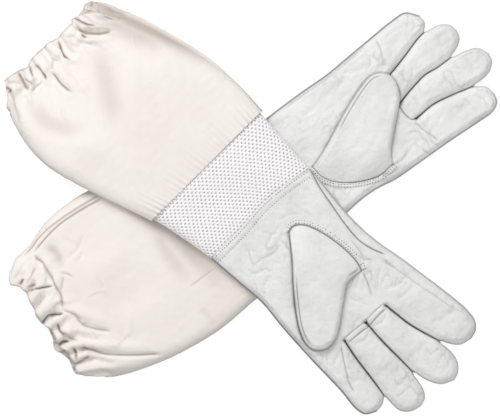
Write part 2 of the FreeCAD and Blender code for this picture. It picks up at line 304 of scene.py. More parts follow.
def fill(loop, cuts, rows, spacing, folds=()):
    """Points and triangles that fill a loop and keep the cuts as edges: rows of points follow
    its edge and the folds, then an even grid fills the rest."""
    n = len(loop)
    points, edges = [loop], [(i, (i + 1) % n) for i in range(n)]
    count = n
    for cut in cuts:
        points.append(cut)
        edges += [(count + i, count + i + 1) for i in range(len(cut) - 1)]
        count += len(cut)
    closed = np.vstack([loop, loop[:1]])
    for offset, pitch in rows:
        line = beside(closed, offset)
        line = resample(line, max(4, int(lengths(line)[-1] / pitch)))[:-1]
        points.append(clear_of(line[inside(line, loop)], [closed], offset * 0.93))
    rim = rows[-1][0]
    drawn = []
    for fold in folds:
        for offset in (0.0, -0.55, 0.55, -1.15, 1.15):
            line = resample(beside(fold, offset), max(3, int(lengths(fold)[-1] / 1.1)))
            line = clear_of(line[inside(line, loop)], [closed], rim + 0.5)
            points.append(clear_of(line, cuts + drawn, 0.45))
        drawn.append(resample(fold, max(3, int(lengths(fold)[-1] / 2.0))))
    low, high = loop.min(0), loop.max(0)
    xs = np.arange(low[0], high[0], spacing * 0.866)
    ys = np.arange(low[1], high[1], spacing)
    gx, gy = np.meshgrid(xs, ys, indexing="ij")
    gy = gy + (np.arange(len(xs)) % 2)[:, None] * spacing / 2
    grid = np.column_stack([gx.ravel(), gy.ravel()])
    grid = clear_of(grid[inside(grid, loop)], [closed], rim + spacing * 0.55)
    grid = clear_of(grid, cuts, spacing * 0.55)
    points.append(clear_of(grid, drawn, 1.15 + spacing * 0.45))
    verts, faces = triangulate(np.vstack(points), edges)
    centre = verts[faces].mean(1)
    faces = faces[inside(centre, loop)]
    a, b, c = (verts[faces[:, k]] for k in range(3))
    area = (b - a)[:, 0] * (c - a)[:, 1] - (b - a)[:, 1] * (c - a)[:, 0]
    faces = np.where((area < 0)[:, None], faces[:, ::-1], faces)
    return verts, faces[np.abs(area) > 1e-7]


def compact(verts, faces, *others):
    """Only the vertices that the faces use."""
    used, inverse = np.unique(faces, return_inverse=True)
    return [verts[used], inverse.reshape(faces.shape)] + [o[used] for o in others]


def shared_edge(places, on_edge):
    """For each vertex its own number, or on the edge the first one that is at its place."""
    first, same = {}, np.arange(len(places))
    rounded = np.round(places, 2)
    for i in np.where(on_edge)[0]:
        same[i] = first.setdefault((rounded[i, 0], rounded[i, 1]), i)
    return same


def hinge(name, point):
    """Where a hinge is, and the level direction across its axis, on the side of the point."""
    base, axis = np.array(joints[name]["pos_m"]), np.array(joints[name]["axis"])
    ahead = np.cross(axis, [0, 0, 1.0])
    ahead /= np.linalg.norm(ahead)
    return base, -ahead if (point - base) @ ahead < 0 else ahead


# ---------------------------------------------------------------- shapes of the two hands
# Outer line of the hand in order, each edge from where the last one ends: little side, inner side
# of the little finger, ring finger, middle finger, index finger and back down the index side.
# Each of the thumb's folds has points, half-width, height (- is a groove) and darkness, which is
# painted shade.
LEFT_SHAPES = {
    "edges": [
        [(-4, -66), (32, -64), (60, -62.5), (90, -66), (130, -69), (173, -71), (196, -73.5),
         (206, -71), (212, -62)],
        [(212, -62), (211.5, -53), (207, -46.8), (195, -43.6), (176, -40.8), (160, -38.2),
         (143, -33.8)],
        [(143, -33.8), (160, -37.2), (180, -40.3), (197, -43), (214, -45.6), (228, -45),
         (236, -38), (239.4, -28)],
        [(239.4, -28), (236.5, -19.5), (229, -14.6), (215, -11.6), (196, -9.9), (173, -9.4),
         (146, -7)],
        [(146, -7), (160, -8.3), (178, -8.7), (196, -8.9), (213, -8.6), (228, -5.4), (239, 1),
         (245, 12)],
        [(245, 12), (242.5, 20), (235, 27), (224, 29.8), (209, 28.2), (193, 24.4), (176, 20.4),
         (162, 18.9), (148, 18)],
        [(148, 18), (162, 19.6), (176, 21.2), (193, 25.4), (206, 29.6), (217, 34), (225.5, 41),
         (229, 52)],
        [(229, 52), (226.5, 61), (219, 67.4), (206, 69.5), (190, 68.7), (170, 66.6), (149, 64),
         (125, 61), (104, 57.4), (82, 55.4), (57, 56), (30, 59), (4, 62)],
    ],
    "wrist": [(4, 62), (-2, 34), (-5, 5), (-3.5, -27), (-4, -66)],
    "knuckle_ends": [(142, -70), (143, 63)],
    "thumb_seam": [(32, 3.5), (31, 11), (37, 18.5), (48, 23.6), (64, 27.4), (83, 29.3),
                   (98, 28.5), (107, 25.8)],
    "thumb_edge": [(32, 3.5), (42, -4.8), (53, -14), (73.5, -33.5), (92.5, -49.2), (103, -56.2),
                   (114, -61), (123, -61.8), (131, -57.5), (135.5, -49), (135, -40),
                   (131.2, -31), (123, -18.5), (112, -2.5), (106, 7.5), (105.5, 16), (107, 25.8)],
    "thumb_folds": [
        ([(101.4, 13.8), (103, 20), (103.6, 25)], 0.9, -0.8, 0.7),
        ([(60, 12), (75, 2), (92, -8)], 5.0, 0.5, 0.0),
        ([(80, -20), (95, -32), (112, -44)], 3.5, -0.35, 0.0),
        ([(50, 8), (62, 14), (80, 16)], 3.0, -0.35, 0.0),
    ],
    "sleeve_index": [(-67, 69), (-90, 72), (-120, 73.2), (-145, 71), (-172, 64.8), (-200, 57.5),
                     (-225, 48.5), (-241, 41), (-252, 36)],
    "sleeve_little": [(-70, -79), (-97, -89), (-122, -98), (-150, -105), (-180, -111.5),
                      (-206, -110.5), (-228, -104.5), (-248, -96), (-262, -86)],
    "mouth": [(-246, -95), (-254, -89), (-265, -81), (-261, -65), (-257, -56), (-260, -50),
              (-259, -25), (-256, -16), (-256, 4), (-259, 6), (-256, 12), (-257, 20), (-260, 26),
              (-258, 32), (-251, 37)],
    "gathers": [-81, -65, -55, -48, -33, -17, 5, 11, 20, 31],
    "under": 0.0,
}
RIGHT_SHAPES = {
    "edges": [
        [(0, -65), (32, -67), (70, -67.6), (99, -67), (130, -69), (155, -70.7), (181, -72.2),
         (196, -71), (205.5, -61)],
        [(205.5, -61), (206, -52), (201, -46.3), (191, -43.4), (170, -36.9), (148, -30.5)],
        [(148, -30.5), (170, -36.1), (191, -42.6), (205, -43.6), (217, -41.4), (224, -36),
         (226.4, -28)],
        [(226.4, -28), (224.5, -20.5), (218, -14.6), (207, -11), (189, -10.2), (176, -11.4),
         (162, -9), (141.4, -3.5)],
        [(141.4, -3.5), (163, -8.1), (177, -10.4), (190, -9.2), (207, -8.8), (223, -6.4),
         (233, -2), (238.2, 8)],
        [(238.2, 8), (236.5, 16), (229, 22.8), (217, 25), (202, 23), (184, 19), (166, 16.2),
         (146, 18)],
        [(146, 18), (166, 17.2), (184, 20.2), (200, 24.1), (211, 27.8), (218, 34),
         (220, 43)],
        [(220, 43), (217.5, 51), (209, 56), (190, 56.2), (160, 55), (128, 54.6), (96, 54),
         (73, 50.6), (52, 50.8), (30, 54), (0, 61.5)],
    ],
    "wrist": [(0, 61.5), (-1.5, 30), (-2, 0), (-1.5, -32), (0, -65)],
    "knuckle_ends": [(144, -70), (144, 55)],
    "thumb_seam": [(37, -3), (38.5, 9), (45, 20), (57, 30), (71, 37.3), (86, 41.5), (101, 40)],
    "thumb_edge": [(37, -3), (50, -7.5), (66, -14.5), (85, -24), (103, -32), (119, -38),
                   (134, -41), (144, -37), (149.5, -28), (148.5, -17), (143.5, -7), (134, 2.5),
                   (121, 14.5), (108, 28), (101, 40)],
    "thumb_folds": [
        ([(60, 8), (78, 2), (100, -6)], 4.0, 0.5, 0.0),
        ([(70, 22), (90, 16), (110, 8)], 3.0, -0.35, 0.0),
        ([(90, -10), (110, -20), (128, -26)], 3.5, -0.35, 0.0),
    ],
    "sleeve_index": [(-68, 67), (-95, 69), (-127, 72), (-146, 71), (-170, 68), (-192, 63),
                     (-220, 54), (-240, 45.5), (-256, 35)],
    "sleeve_little": [(-70, -78), (-97, -89), (-122, -99), (-149, -110.5), (-182, -113.5),
                      (-209, -110.5), (-226, -104), (-243, -100), (-258, -91)],
    "mouth": [(-255, -95), (-261, -87), (-263, -82), (-257, -75), (-255, -67), (-257, -57),
              (-259, -44), (-260, -34), (-257, -25), (-257, -16), (-260, -7), (-257, 0),
              (-257, 10), (-258, 16), (-261, 24), (-256, 32), (-246, 38)],
    "gathers": [-76, -67, -50, -35, -22, -7, 6, 16, 28],
    "under": 4.5,
}
# Folds, seams and wrinkles on the side that shows: points, half-width, height (- is a groove),
# and how dark it is, for those that are. The darkness is painted shade in the folds and wrinkles; on
# the seams it is the dark seam and painted shade.
LEFT_RELIEF = [
    ([(147, 17.5), (146, 5), (146, -7.5), (144.5, -20), (143.2, -34)], 1.7, 0.9),
    ([(149.2, 17.5), (148.6, 5), (149, -7.5), (147.2, -20), (146, -34)], 0.8, -0.9, 0.6),
    ([(144, 18.5), (143.2, 5), (143, -7.5), (141.6, -20), (140.2, -33)], 0.8, -0.8, 0.55),
    ([(5, 61), (22, 55.5), (41, 51.4), (66, 46.6), (85, 44.9), (99, 47.4), (113, 52.6)],
     0.8, -1.3, 0.9),
    ([(5, 58), (22, 52.8), (41, 48.8), (66, 44.2), (85, 42.5), (99, 44.8), (112, 49.4)], 1.2, 0.6),
    ([(114, 48.5), (126, 49), (145, 52), (170, 56.2), (199, 61.2)], 1.0, -0.9, 0.25),
    ([(141, -38), (152, -46), (163, -53.2), (173, -59.5), (184, -63)], 1.2, -0.9, 0.55),
    ([(79.4, 39.3), (90, 38.5), (104.5, 34.2)], 1.2, -1.0, 0.35),
    ([(88, 42), (98, 38), (110, 38)], 1.3, -0.8, 0.2),
    ([(92, 33), (101, 35), (108, 41)], 1.2, -0.8, 0.2),
    ([(112, 46), (120, 47.6), (130, 49.5)], 1.3, -1.2, 0.3),
    ([(30.6, 6), (30.8, 3), (32, 0.5)], 1.0, -0.8, 1.0),
    ([(106.5, 26.5), (108.5, 28), (109, 31)], 1.0, -0.8, 0.9),
    ([(107, 26), (117, 22.6), (131, 15.4)], 1.2, -1.0, 0.5),
    ([(109, 30), (121, 28), (133, 22)], 1.3, -0.6, 0.1),
    ([(18, 26.5), (26, 28), (36, 30.5)], 1.3, -0.6, 0.1),
    ([(22, 32), (32, 35), (46, 36)], 1.4, -0.5, 0.0),
    ([(18, 6), (20, 16), (28, 25)], 1.6, -0.6, 0.1),
    ([(30, -8), (37, -6.5), (45, -8)], 1.2, -0.8, 0.2),
    ([(24, -2), (22, -10), (26, -18)], 1.4, -0.7, 0.1),
    ([(34, -13), (42, -14), (50, -19)], 1.4, -0.6, 0.1),
    ([(14, -38), (30, -34), (52, -38)], 3.5, -0.8),
    ([(60, -50), (85, -54), (112, -57)], 3.0, -0.6),
    ([(118, -2), (128, 4), (138, 6)], 1.6, -0.8, 0.1),
    ([(121, -12), (131, -12), (140, -16)], 1.8, -0.6, 0.1),
    ([(136, 30), (141, 38), (142, 50)], 1.6, -0.9, 0.15),
    ([(150, 30), (153, 40), (152, 52)], 1.8, -0.8, 0.1),
    ([(152, -4), (155, 4), (153, 12)], 1.3, -0.9, 0.2),
    ([(151, -29), (155, -21), (153, -12)], 1.3, -0.8, 0.2),
    ([(150, -60), (149, -50), (146, -41)], 1.5, -0.7, 0.1),
    ([(12, 44), (30, 40), (50, 38)], 3.0, -0.6),
    ([(198, -2), (201, 8), (199, 18)], 2.2, -0.5),
    ([(190, 38), (196, 47), (197, 58)], 2.5, -0.6),
    ([(188, -36), (190, -27), (189, -18)], 2.2, -0.5),
    ([(172, -66), (176, -58), (177, -50)], 2.0, -0.6),
]
RIGHT_RELIEF = [
    ([(149, -30.5), (146.5, -20), (144.5, -9.5), (139.5, -4), (138.4, 8), (141, 16.5), (147, 17.6)],
     1.0, -1.3, 0.85),
    ([(146.2, -31.5), (143.4, -20), (141.4, -11), (136.6, -4), (135.6, 8), (138.2, 17.5),
      (143, 21)], 1.6, 0.6),
    ([(158, -67), (156, -56), (152, -46), (150, -40)], 1.2, -1.1, 0.35),
    ([(142, 20), (143.5, 30), (147, 40), (149.5, 48)], 1.2, -1.1, 0.45),
    ([(132.5, 45), (133.5, 50), (135.5, 54)], 1.1, -1.0, 0.4),
    ([(152, -3), (155, 4), (153, 13)], 1.4, -0.8, 0.15),
    ([(154, -32), (158, -24), (156, -15)], 1.4, -0.8, 0.15),
    ([(99, 41), (110, 42), (122, 38)], 1.4, -0.8, 0.3),
    ([(86.5, 43), (91, 44), (95, 42.5)], 0.9, -0.9, 0.8),
    ([(98, 42), (101, 40.5), (104, 41.5)], 0.9, -0.9, 0.85),
    ([(36, -4.5), (37, -2), (37, 1)], 0.9, -0.8, 0.8),
    ([(84, 44.5), (96, 47), (106, 47)], 1.2, -0.8, 0.3),
    ([(34, 18), (44, 30), (58, 38)], 2.2, -0.5),
    ([(60, -46), (85, -50), (115, -53)], 3.0, -0.6),
    ([(110, -60), (125, -52), (140, -50)], 2.0, -0.6),
    ([(205, -38), (207, -30), (205, -20)], 1.6, -0.8, 0.1),
    ([(214, -5), (217, 6), (214, 17)], 1.6, -0.8, 0.1),
    ([(196, -66), (197, -59), (194, -51)], 1.4, -0.8, 0.1),
    ([(180, 30), (184, 40), (183, 50)], 2.4, -0.6),
    ([(186, -4), (190, 5), (187, 15)], 2.2, -0.5),
    ([(204, 34), (208, 42), (206, 52)], 1.4, -0.8, 0.2),
]
HAND_DEPTH = 13.0                   # height of the flat of the palm
HAND_MIDDLE = HAND_DEPTH * 0.45    # height of the edge where its two sides meet
THUMB_DEPTH = 7.2                   # how far the thumb stands up from the palm
ON_EDGE = 0.02                      # closer than this, a point counts as on the edge


def rounded(points, lines, reach, power):
    """0 on the lines to 1 past their reach, and the distance to the nearest line."""
    total, rim = np.zeros(len(points)), np.full(len(points), 1e9)
    for k, line in enumerate(lines):
        far, along, _ = away(points, line)
        far = np.maximum(far, 1e-4)
        total += (far / reach(k, along, lengths(line)[-1])) ** -3.0
        rim = np.minimum(rim, far)
    t = np.minimum(total ** (-1 / 3), 1.0)
    return np.maximum(0, 1 - (1 - t) ** power) ** 0.5, rim


class Hand:
    """The leather hand of one glove: where its edges are, and how high its two sides lie."""

    def __init__(self, glove, relief):
        self.glove = glove
        self.relief = [(curve(fold[0], 2.0), *fold[1:3], fold[3] if len(fold) > 3 else 0.0)
                       for fold in relief]
        shapes = glove.shapes
        self.thumb_relief = [(curve(fold[0], 2.0), *fold[1:]) for fold in shapes["thumb_folds"]]
        self.edges = [curve(edge, 1.5) for edge in shapes["edges"]]
        # neighbouring fingers touch, or nearly, until they part
        for k in (1, 3, 5):
            a, b = self.edges[k], self.edges[k + 1]
            self.edges[k], self.edges[k + 1] = towards(a, b, 0.4), towards(b, a, 0.4)
        self.wrist = curve(shapes["wrist"], 1.5)
        self.seam = curve(shapes["thumb_seam"], 1.3)
        self.thumb_edge = curve(shapes["thumb_edge"], 1.3)
        self.crotches = [self.edges[1][-1], self.edges[3][-1], self.edges[5][-1]]

    def reach(self, k, along, total):
        """How far in from edge k its rounding goes; short at the crotches, where panels meet."""
        if k in (0, 7):
            return np.full_like(along, 9.0)
        crotch = total - along if k in (1, 3, 5) else along
        return 3.8 + 4.7 * ease(crotch / 30)

    def crown(self, points):
        """0 on the edges to 1 on the flat of the hand, and the distance in from the outer edge."""
        return rounded(points, self.edges, self.reach, 2.2)

    def wrinkles(self, points, width):
        """1 along the main wrinkles of the leather, which come in patches."""
        seed = self.glove.pick(11, 12)
        wrinkle = np.abs(waves(points, 9, seed, (1.0, 1.9), 0.4))
        return bell(wrinkle / width) * ease(waves(points, 30, seed + 5) * 1.4)

    def details(self, points, rim):
        """What stands up or sinks in from the smooth crown."""
        fade = ease(rim / 4.0)
        z = 0.75 * fade * waves(points, 36, self.glove.pick(3, 4))
        z += 0.30 * fade * waves(points, 17, self.glove.pick(5, 6))
        seed = self.glove.pick(11, 12)
        z -= 0.50 * fade * self.wrinkles(points, 0.24)
        wrinkle = np.abs(waves(points, 6, seed + 2, (1.0, 2.6), 1.5))
        z -= 0.34 * fade * bell(wrinkle / 0.3)
        z += 0.13 * fade * waves(points, 5.5, seed + 9)
        # the seam where the palm panel meets its side strip
        z -= 0.30 * bell((rim - 3.9) / 0.75)
        z += 0.25 * bell((rim - 5.7) / 0.9)
        for line, width, height, _ in self.relief:
            far, taper = tapered(points, line, 5.0, 0.35)
            z += height * taper * bell(far / width)
        # folded leather along the mesh
        far = distance(points, self.wrist)
        z += 0.5 * ease((6.6 - far) / 1.0) * ease(far / 0.8 + 0.2)
        z -= 0.35 * bell((far - 7.2) / 0.7)
        # the raised leather round the base of the thumb
        far, _, side = away(points, self.seam)
        outside = side > 0
        z += np.where(outside, 0.55 * ease((5.2 - far) / 1.4) * ease(far / 1.0), 0)
        z -= np.where(outside, 0.35 * bell((far - 5.6) / 0.7), 0)
        z -= 0.9 * bell(far / 1.0)
        # the leather sinks a little under the edge of the thumb
        far = distance(points, self.thumb_edge)
        z -= 0.6 * bell(far / 0.9)
        return z

    def crease(self, points, rim):
        """Painted shade in the seams, folds, wrinkles and slits and along the thumb's edge, with
        dark seam lines, 0 to 1.
        """
        dark = np.zeros(len(points))
        for k, line in enumerate(self.edges):
            far, along, _ = away(points, line)
            crotch = lengths(line)[-1] - along if k in (1, 3, 5) else along
            if k in (0, 7):
                # the seam of the side strip: a dark line that is partly the seam and partly painted
                # shade at the edge
                dark = np.maximum(dark, 0.15 * bell(far / 0.6))
                deep, wide = (1.0, 0.8) if k == 0 else (0.65, 0.6)
                dark = np.maximum(dark, deep * bell((far - 0.9) / wide))
            else:
                # painted shade in the slits between the fingers
                deep = (0.5 + 0.4 * ease((62 - crotch) / 25)) * self.glove.pick(1.0, 0.55)
                dark = np.maximum(dark, deep * bell(far / 0.7))
        seed = self.glove.pick(11, 12)
        # painted shade in the wrinkles
        dark = np.maximum(dark, 0.27 * self.wrinkles(points, 0.09))
        # a dark line in the groove of the side-strip seam: seam and painted shade
        little, along, _ = away(points, self.edges[0])
        ends = ease((along - 40) / 20) * ease((150 - along) / 15)
        dark = np.maximum(dark, 0.5 * ends * bell((little - 3.6) / 0.75))
        # painted shade in the folds, and on the seams the dark seam with painted shade
        for line, _, _, depth in self.relief:
            if depth:
                far, taper = tapered(points, line, 6, 0.2)
                dark = np.maximum(dark, depth * taper * bell(far / 0.62))
        # painted shade on the palm along the edge of the thumb, where it lies on the palm
        far, at, _ = away(points, self.thumb_edge)
        dark = np.maximum(dark, 0.8 * self.outline(at) * bell(far / 0.55))
        # seams round the fingertips, dark lines that are partly the seam and partly painted shade,
        # show most on the right glove
        tips = ease((points[:, 0] - 185) / 25) * ease(waves(points, 22, seed + 3) + 0.7)
        tips *= self.glove.pick(0.12, 0.32)
        dark = np.maximum(dark, tips * bell((rim - 3.9) / 0.5))
        # the thumb's seam: a dark seam line with painted shade in its groove
        far = distance(points, self.seam)
        deep = self.glove.pick(0.75, 0.5)
        return np.maximum(dark, deep * bell(far / 0.65))

    def outline(self, at):
        """How much painted shade lies on the edge of the thumb, along it."""
        deep = 1.0 - 0.3 * ease((at - 105) / 25) - 0.4 * ease((at - 130) / 20)
        return deep * self.glove.pick(1.0, 0.55)

    def top(self, points):
        crown, rim = self.crown(points)
        return HAND_MIDDLE + (HAND_DEPTH - HAND_MIDDLE) * crown + self.details(points, rim)

    def bottom(self, points):
        t = np.minimum(np.min([distance(points, line) for line in self.edges], axis=0) / 7.5, 1.0)
        wrinkle = np.abs(waves(points, 13, 72, (1.0, 1.8), 0.6))
        dents = 0.3 * (1 + waves(points, 24, 71)) + 0.4 * bell(wrinkle / 0.25)
        return HAND_MIDDLE - HAND_MIDDLE * np.sqrt(np.maximum(0, 1 - (1 - t) ** 2)) + dents * ease(t)

    def thumb_top(self, points):
        """Height of the thumb, which lies on the palm."""
        cut = self.thumb_edge.argmax(0)[0]
        halves = self.thumb_edge[:cut + 1], self.thumb_edge[cut:]
        crown, rim = rounded(points, halves, lambda *_: 6.0, 2.4)
        far = distance(points, self.seam)
        rise = np.clip(far / 30.0, 0, 1)
        rise = 0.10 + 0.90 * rise * (2 - rise)
        z = HAND_DEPTH - 0.2 + (THUMB_DEPTH + 0.2) * crown * rise
        fade = ease(rim / 3.0) * ease(far / 6)
        seed = self.glove.pick(21, 22)
        z += 0.45 * fade * waves(points, 24, seed)
        wrinkle = np.abs(waves(points, 8, seed + 3, (1.0, 1.8), 2.4))
        z -= 0.28 * fade * bell(wrinkle / 0.22) * ease(waves(points, 25, seed + 6) * 1.4)
        # the side strip of the thumb along its outer edge
        outer = distance(points, halves[0])
        z -= 0.55 * ease(far / 8) * bell((outer - 3.7) / 0.7)
        z += 0.35 * ease(far / 8) * bell((outer - 5.4) / 0.9)
        for line, width, height, _ in self.thumb_relief:
            gap, taper = tapered(points, line, 4.0, 0.4)
            z += height * taper * bell(gap / width)
        return z

    def thumb_crease(self, points):
        """Painted shade on the thumb, along its edge and in its folds, with dark seam lines, at each
        place.
        """
        far, at, _ = away(points, self.thumb_edge)
        base = distance(points, self.seam)
        deep = self.glove.pick(0.75, 0.38)
        wide = 0.55 + 0.4 * ease((at - 35) / 30) * ease((115 - at) / 20)
        dark = np.maximum(self.outline(at) * bell((far - 0.4) / wide),
                          deep * bell(base / 0.75))
        # a dark line along the thumb's side strip: seam and painted shade
        ends = ease((at - 38) / 16) * ease((at - 8) / 10) * ease((118 - at) / 12)
        dark = np.maximum(dark, 0.75 * ends * bell((far - 3.7) / 0.6))
        for line, _, _, depth in self.thumb_relief:
            gap, taper = tapered(points, line, 4.0, 0.3)
            dark = np.maximum(dark, depth * taper * bell(gap / 0.62))
        return dark


def build_hand(glove, relief, leather):
    """The palm and back, and four fingers, as one unbroken skin cut where the knuckles bend."""
    hand = Hand(glove, relief)
    loop = np.vstack([edge[:-1] for edge in hand.edges] + [hand.wrist[:-1]])
    little, index = (np.array(p, float) for p in glove.shapes["knuckle_ends"])
    ends = [loop[np.linalg.norm(loop - p, axis=1).argmin()] for p in (little, index)]
    stops = np.array([ends[0]] + hand.crotches + [ends[1]])
    cuts = [resample(pair, max(3, int(np.linalg.norm(pair[1] - pair[0]) / 1.5)))
            for pair in (stops[k:k + 2] for k in range(4))]
    fine = [(0.22, 1.4), (0.75, 1.4), (1.6, 1.4), (2.8, 1.4)]
    folds = [line for line, width, _, depth in hand.relief if depth > 0.3 or width < 1.3]
    top_xy, top_faces = fill(loop, cuts, fine, 1.4, [hand.seam, hand.thumb_edge] + folds)
    low_xy, low_faces = fill(loop, cuts, [(0.5, 2.0), (1.8, 2.4), (4.0, 3.0)], 3.6)
    top = np.column_stack([top_xy, hand.top(top_xy)])
    low = np.column_stack([low_xy, hand.bottom(low_xy)])
    closed = np.vstack(hand.edges)
    rim_top = distance(top_xy, closed)
    rim_low = distance(low_xy, closed)
    top[rim_top < ON_EDGE, 2] = HAND_MIDDLE
    low[rim_low < ON_EDGE, 2] = HAND_MIDDLE
    # the slits between fingers close
    for side, rim in ((top, rim_top), (low, rim_low)):
        for k in (1, 3, 5):
            for own, other in ((k, k + 1), (k + 1, k)):
                on = np.where(rim < ON_EDGE)[0]
                on = on[distance(side[on, :2], hand.edges[own]) < ON_EDGE]
                side[on, :2] = towards(side[on, :2], resample(hand.edges[other], 600), 0.0)
    # painted shade on the top side, and on the underside near its edges
    dark = np.concatenate([hand.crease(top_xy, rim_top), 0.15 * bell(rim_low / 0.9)])
    verts = np.vstack([top, low])
    faces = np.vstack([top_faces, low_faces[:, ::-1] + len(top)])
    # the two skins share their edge
    flat = np.vstack([top_xy, low_xy])
    faces = shared_edge(flat, np.concatenate([rim_top, rim_low]) < ON_EDGE)[faces]
    row_verts = glove.to_row(verts)
    normals = face_normals(row_verts, glove.facing(faces))
    centre = flat[faces].mean(1)
    done = np.zeros(len(faces), bool)
    made = {}
    for number, finger in enumerate(("little", "ring", "middle", "index")):
        ring = hand.edges[2 * number:2 * number + 2]
        if finger == "little":
            first = np.linalg.norm(ring[0] - ends[0], axis=1).argmin()
            ring[0] = ring[0][first:]
        if finger == "index":
            last = np.linalg.norm(ring[1] - ends[1], axis=1).argmin()
            ring[1] = ring[1][:last + 1]
        mine = inside(centre, np.vstack(ring)) & ~done
        done |= mine
        made[finger] = (faces[mine], cuts[number])
    for finger, (own, cut) in list(made.items()) + [("hand", (faces[~done], None))]:
        v, f, n, d = compact(verts, own, normals, dark)
        name = glove.body("palm_leather" if finger == "hand" else finger + "_leather")
        obj = piece(glove, name, v, f, leather, n, crease=d)
        if finger == "hand":
            palm = obj
            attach(obj, glove.body("hand"))
            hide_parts(*[glove.body(part) for part in (
                "back_panel", "palm_panel", "little_side_strip", "index_side_strip",
                "wrist_binding")])
        else:
            base, ahead = hinge(glove.body(finger + "_knuckle"), glove.to_row(v).mean(0))
            places = glove.to_row(np.column_stack([cut, np.zeros(len(cut))]))
            first = ((places - base) @ ahead).max() + 0.0005
            glove.body("hand")
            glove.body(finger + "_finger")
            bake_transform(obj)
            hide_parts(*[glove.body(finger + part)
                               for part in ("_front", "_back", "_sidewall")])
    return hand, palm


def build_thumb(glove, hand, leather):
    """The thumb lies folded on the palm, and its base is set into the seam."""
    loop = np.vstack([hand.thumb_edge[:-1], hand.seam[::-1][:-1]])
    area = (loop[:, 0] * np.roll(loop[:, 1], -1) - np.roll(loop[:, 0], -1) * loop[:, 1]).sum()
    if area < 0:
        loop = loop[::-1]
    top_xy, top_faces = fill(loop, [], [(0.25, 1.3), (0.8, 1.3), (1.6, 1.3), (2.6, 1.3),
                                        (3.2, 1.3), (3.7, 1.3), (4.2, 1.3), (5.0, 1.4)], 1.4,
                             [line for line, _, _, _ in hand.thumb_relief])
    low_xy, low_faces = fill(loop, [], [(1.0, 2.4)], 4.0)
    top = np.column_stack([top_xy, hand.thumb_top(top_xy)])
    closed = np.vstack([loop, loop[:1]])
    rim_top = distance(top_xy, closed)
    rim_low = distance(low_xy, closed)
    seam_top = distance(top_xy, hand.seam)
    seam_low = distance(low_xy, hand.seam)

    def edge_height(from_seam):
        return HAND_DEPTH + THUMB_DEPTH * 0.35 * np.clip(from_seam / 25, 0, 1)

    middle = edge_height(seam_top)
    low = np.column_stack([low_xy, HAND_DEPTH - 0.9 + 1.3 * ease(seam_low / 12)])
    on_edge = rim_top < ON_EDGE
    top[:, 2] = np.where(on_edge, middle, np.maximum(top[:, 2], middle))
    low_edge = rim_low < ON_EDGE
    low[low_edge, 2] = edge_height(seam_low[low_edge])
    verts = np.vstack([top, low])
    faces = np.vstack([top_faces, low_faces[:, ::-1] + len(top)])
    same = shared_edge(verts[:, :2], np.concatenate([on_edge, low_edge]))
    # painted shade on the top, and the thumb's underside darkened evenly as painted shade
    dark = np.concatenate([hand.thumb_crease(top_xy), np.full(len(low_xy), 0.3)])
    v, f, d = compact(verts, same[faces], dark)
    obj = piece(glove, glove.body("thumb_leather"), v, f, leather, crease=d)
    base, ahead = hinge(glove.body("thumb_base"), glove.to_row(v).mean(0))
    glove.body("hand")
    glove.body("thumb")
    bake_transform(obj)
    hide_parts(*[glove.body(part) for part in ("thumb_front", "thumb_back",
                                                     "thumb_sidewall")])


# ---------------------------------------------------------------- cloth tubes
def dome(t):
    """A quarter round: 0 at 0, 1 from 1 on."""
    t = np.clip(t, 0, 1)
    return np.sqrt(1 - (1 - t) ** 2)


def section(a, b, depth, count, reach=15.0):
    """A ring of `count` places round a flattened tube: from side a over the top to side b, and
    back underneath."""
    a, b = np.asarray(a, float), np.asarray(b, float)
    half = np.linalg.norm(b - a) / 2
    s = -np.cos(np.linspace(0, math.pi, 90))
    gap = (1 - np.abs(s)) * half
    flat = (a + b) / 2 + np.outer(s, (b - a) / 2)
    middle = depth * 0.42
    top = middle + (depth - middle) * dome(gap / reach)
    low = middle - middle * dome(gap / 7.0)
    upper = resample(np.column_stack([flat, top]), count // 2 + 1)[:-1]
    lower = resample(np.column_stack([flat, low])[::-1], count // 2 + 1)[:-1]
    return np.vstack([upper, lower])


def refine(grid, times):
    """The closed grid with `times` as many rings, and places round them, on smooth curves."""
    def between(values, closed):
        n = len(values)
        count = n * times if closed else (n - 1) * times + 1
        at = np.arange(count) / times
        i = np.minimum(np.floor(at).astype(int), n - 1 if closed else n - 2)
        t = (at - i).reshape((-1,) + (1,) * (values.ndim - 1))
        near = [(i + k) % n if closed else np.clip(i + k, 0, n - 1) for k in (-1, 0, 1, 2)]
        p = [values[k] for k in near]
        return 0.5 * (2 * p[1] + (p[2] - p[0]) * t + (2 * p[0] - 5 * p[1] + 4 * p[2] - p[3]) * t ** 2
                      + (3 * p[1] - p[0] - 3 * p[2] + p[3]) * t ** 3)
    return between(between(grid, False).transpose(1, 0, 2), True).transpose(1, 0, 2)


def ring_normals(grid):
    """Outward directions of a closed grid of rings."""
    across = np.roll(grid, -1, axis=1) - np.roll(grid, 1, axis=1)
    along = np.gradient(grid, axis=0)
    return unit(np.cross(across, along))


def calm(normals, places=12):
    """The directions, averaged with their neighbours round the ring."""
    return unit(sum(np.roll(normals, k, axis=-2) for k in range(-places, places + 1)))


MESH_ROWS, MESH_CELLS = 27, 62
# how far out each of the 8 places on a hole's rim is, as a share of the way to its cell's edge
HOLE_RIM = np.array([0.36, 0.65, 0.36, 0.45] * 2)
CELL_EDGE = [(0, 0), (0, 1), (0, 2), (1, 2), (2, 2), (2, 1), (2, 0), (1, 0)]


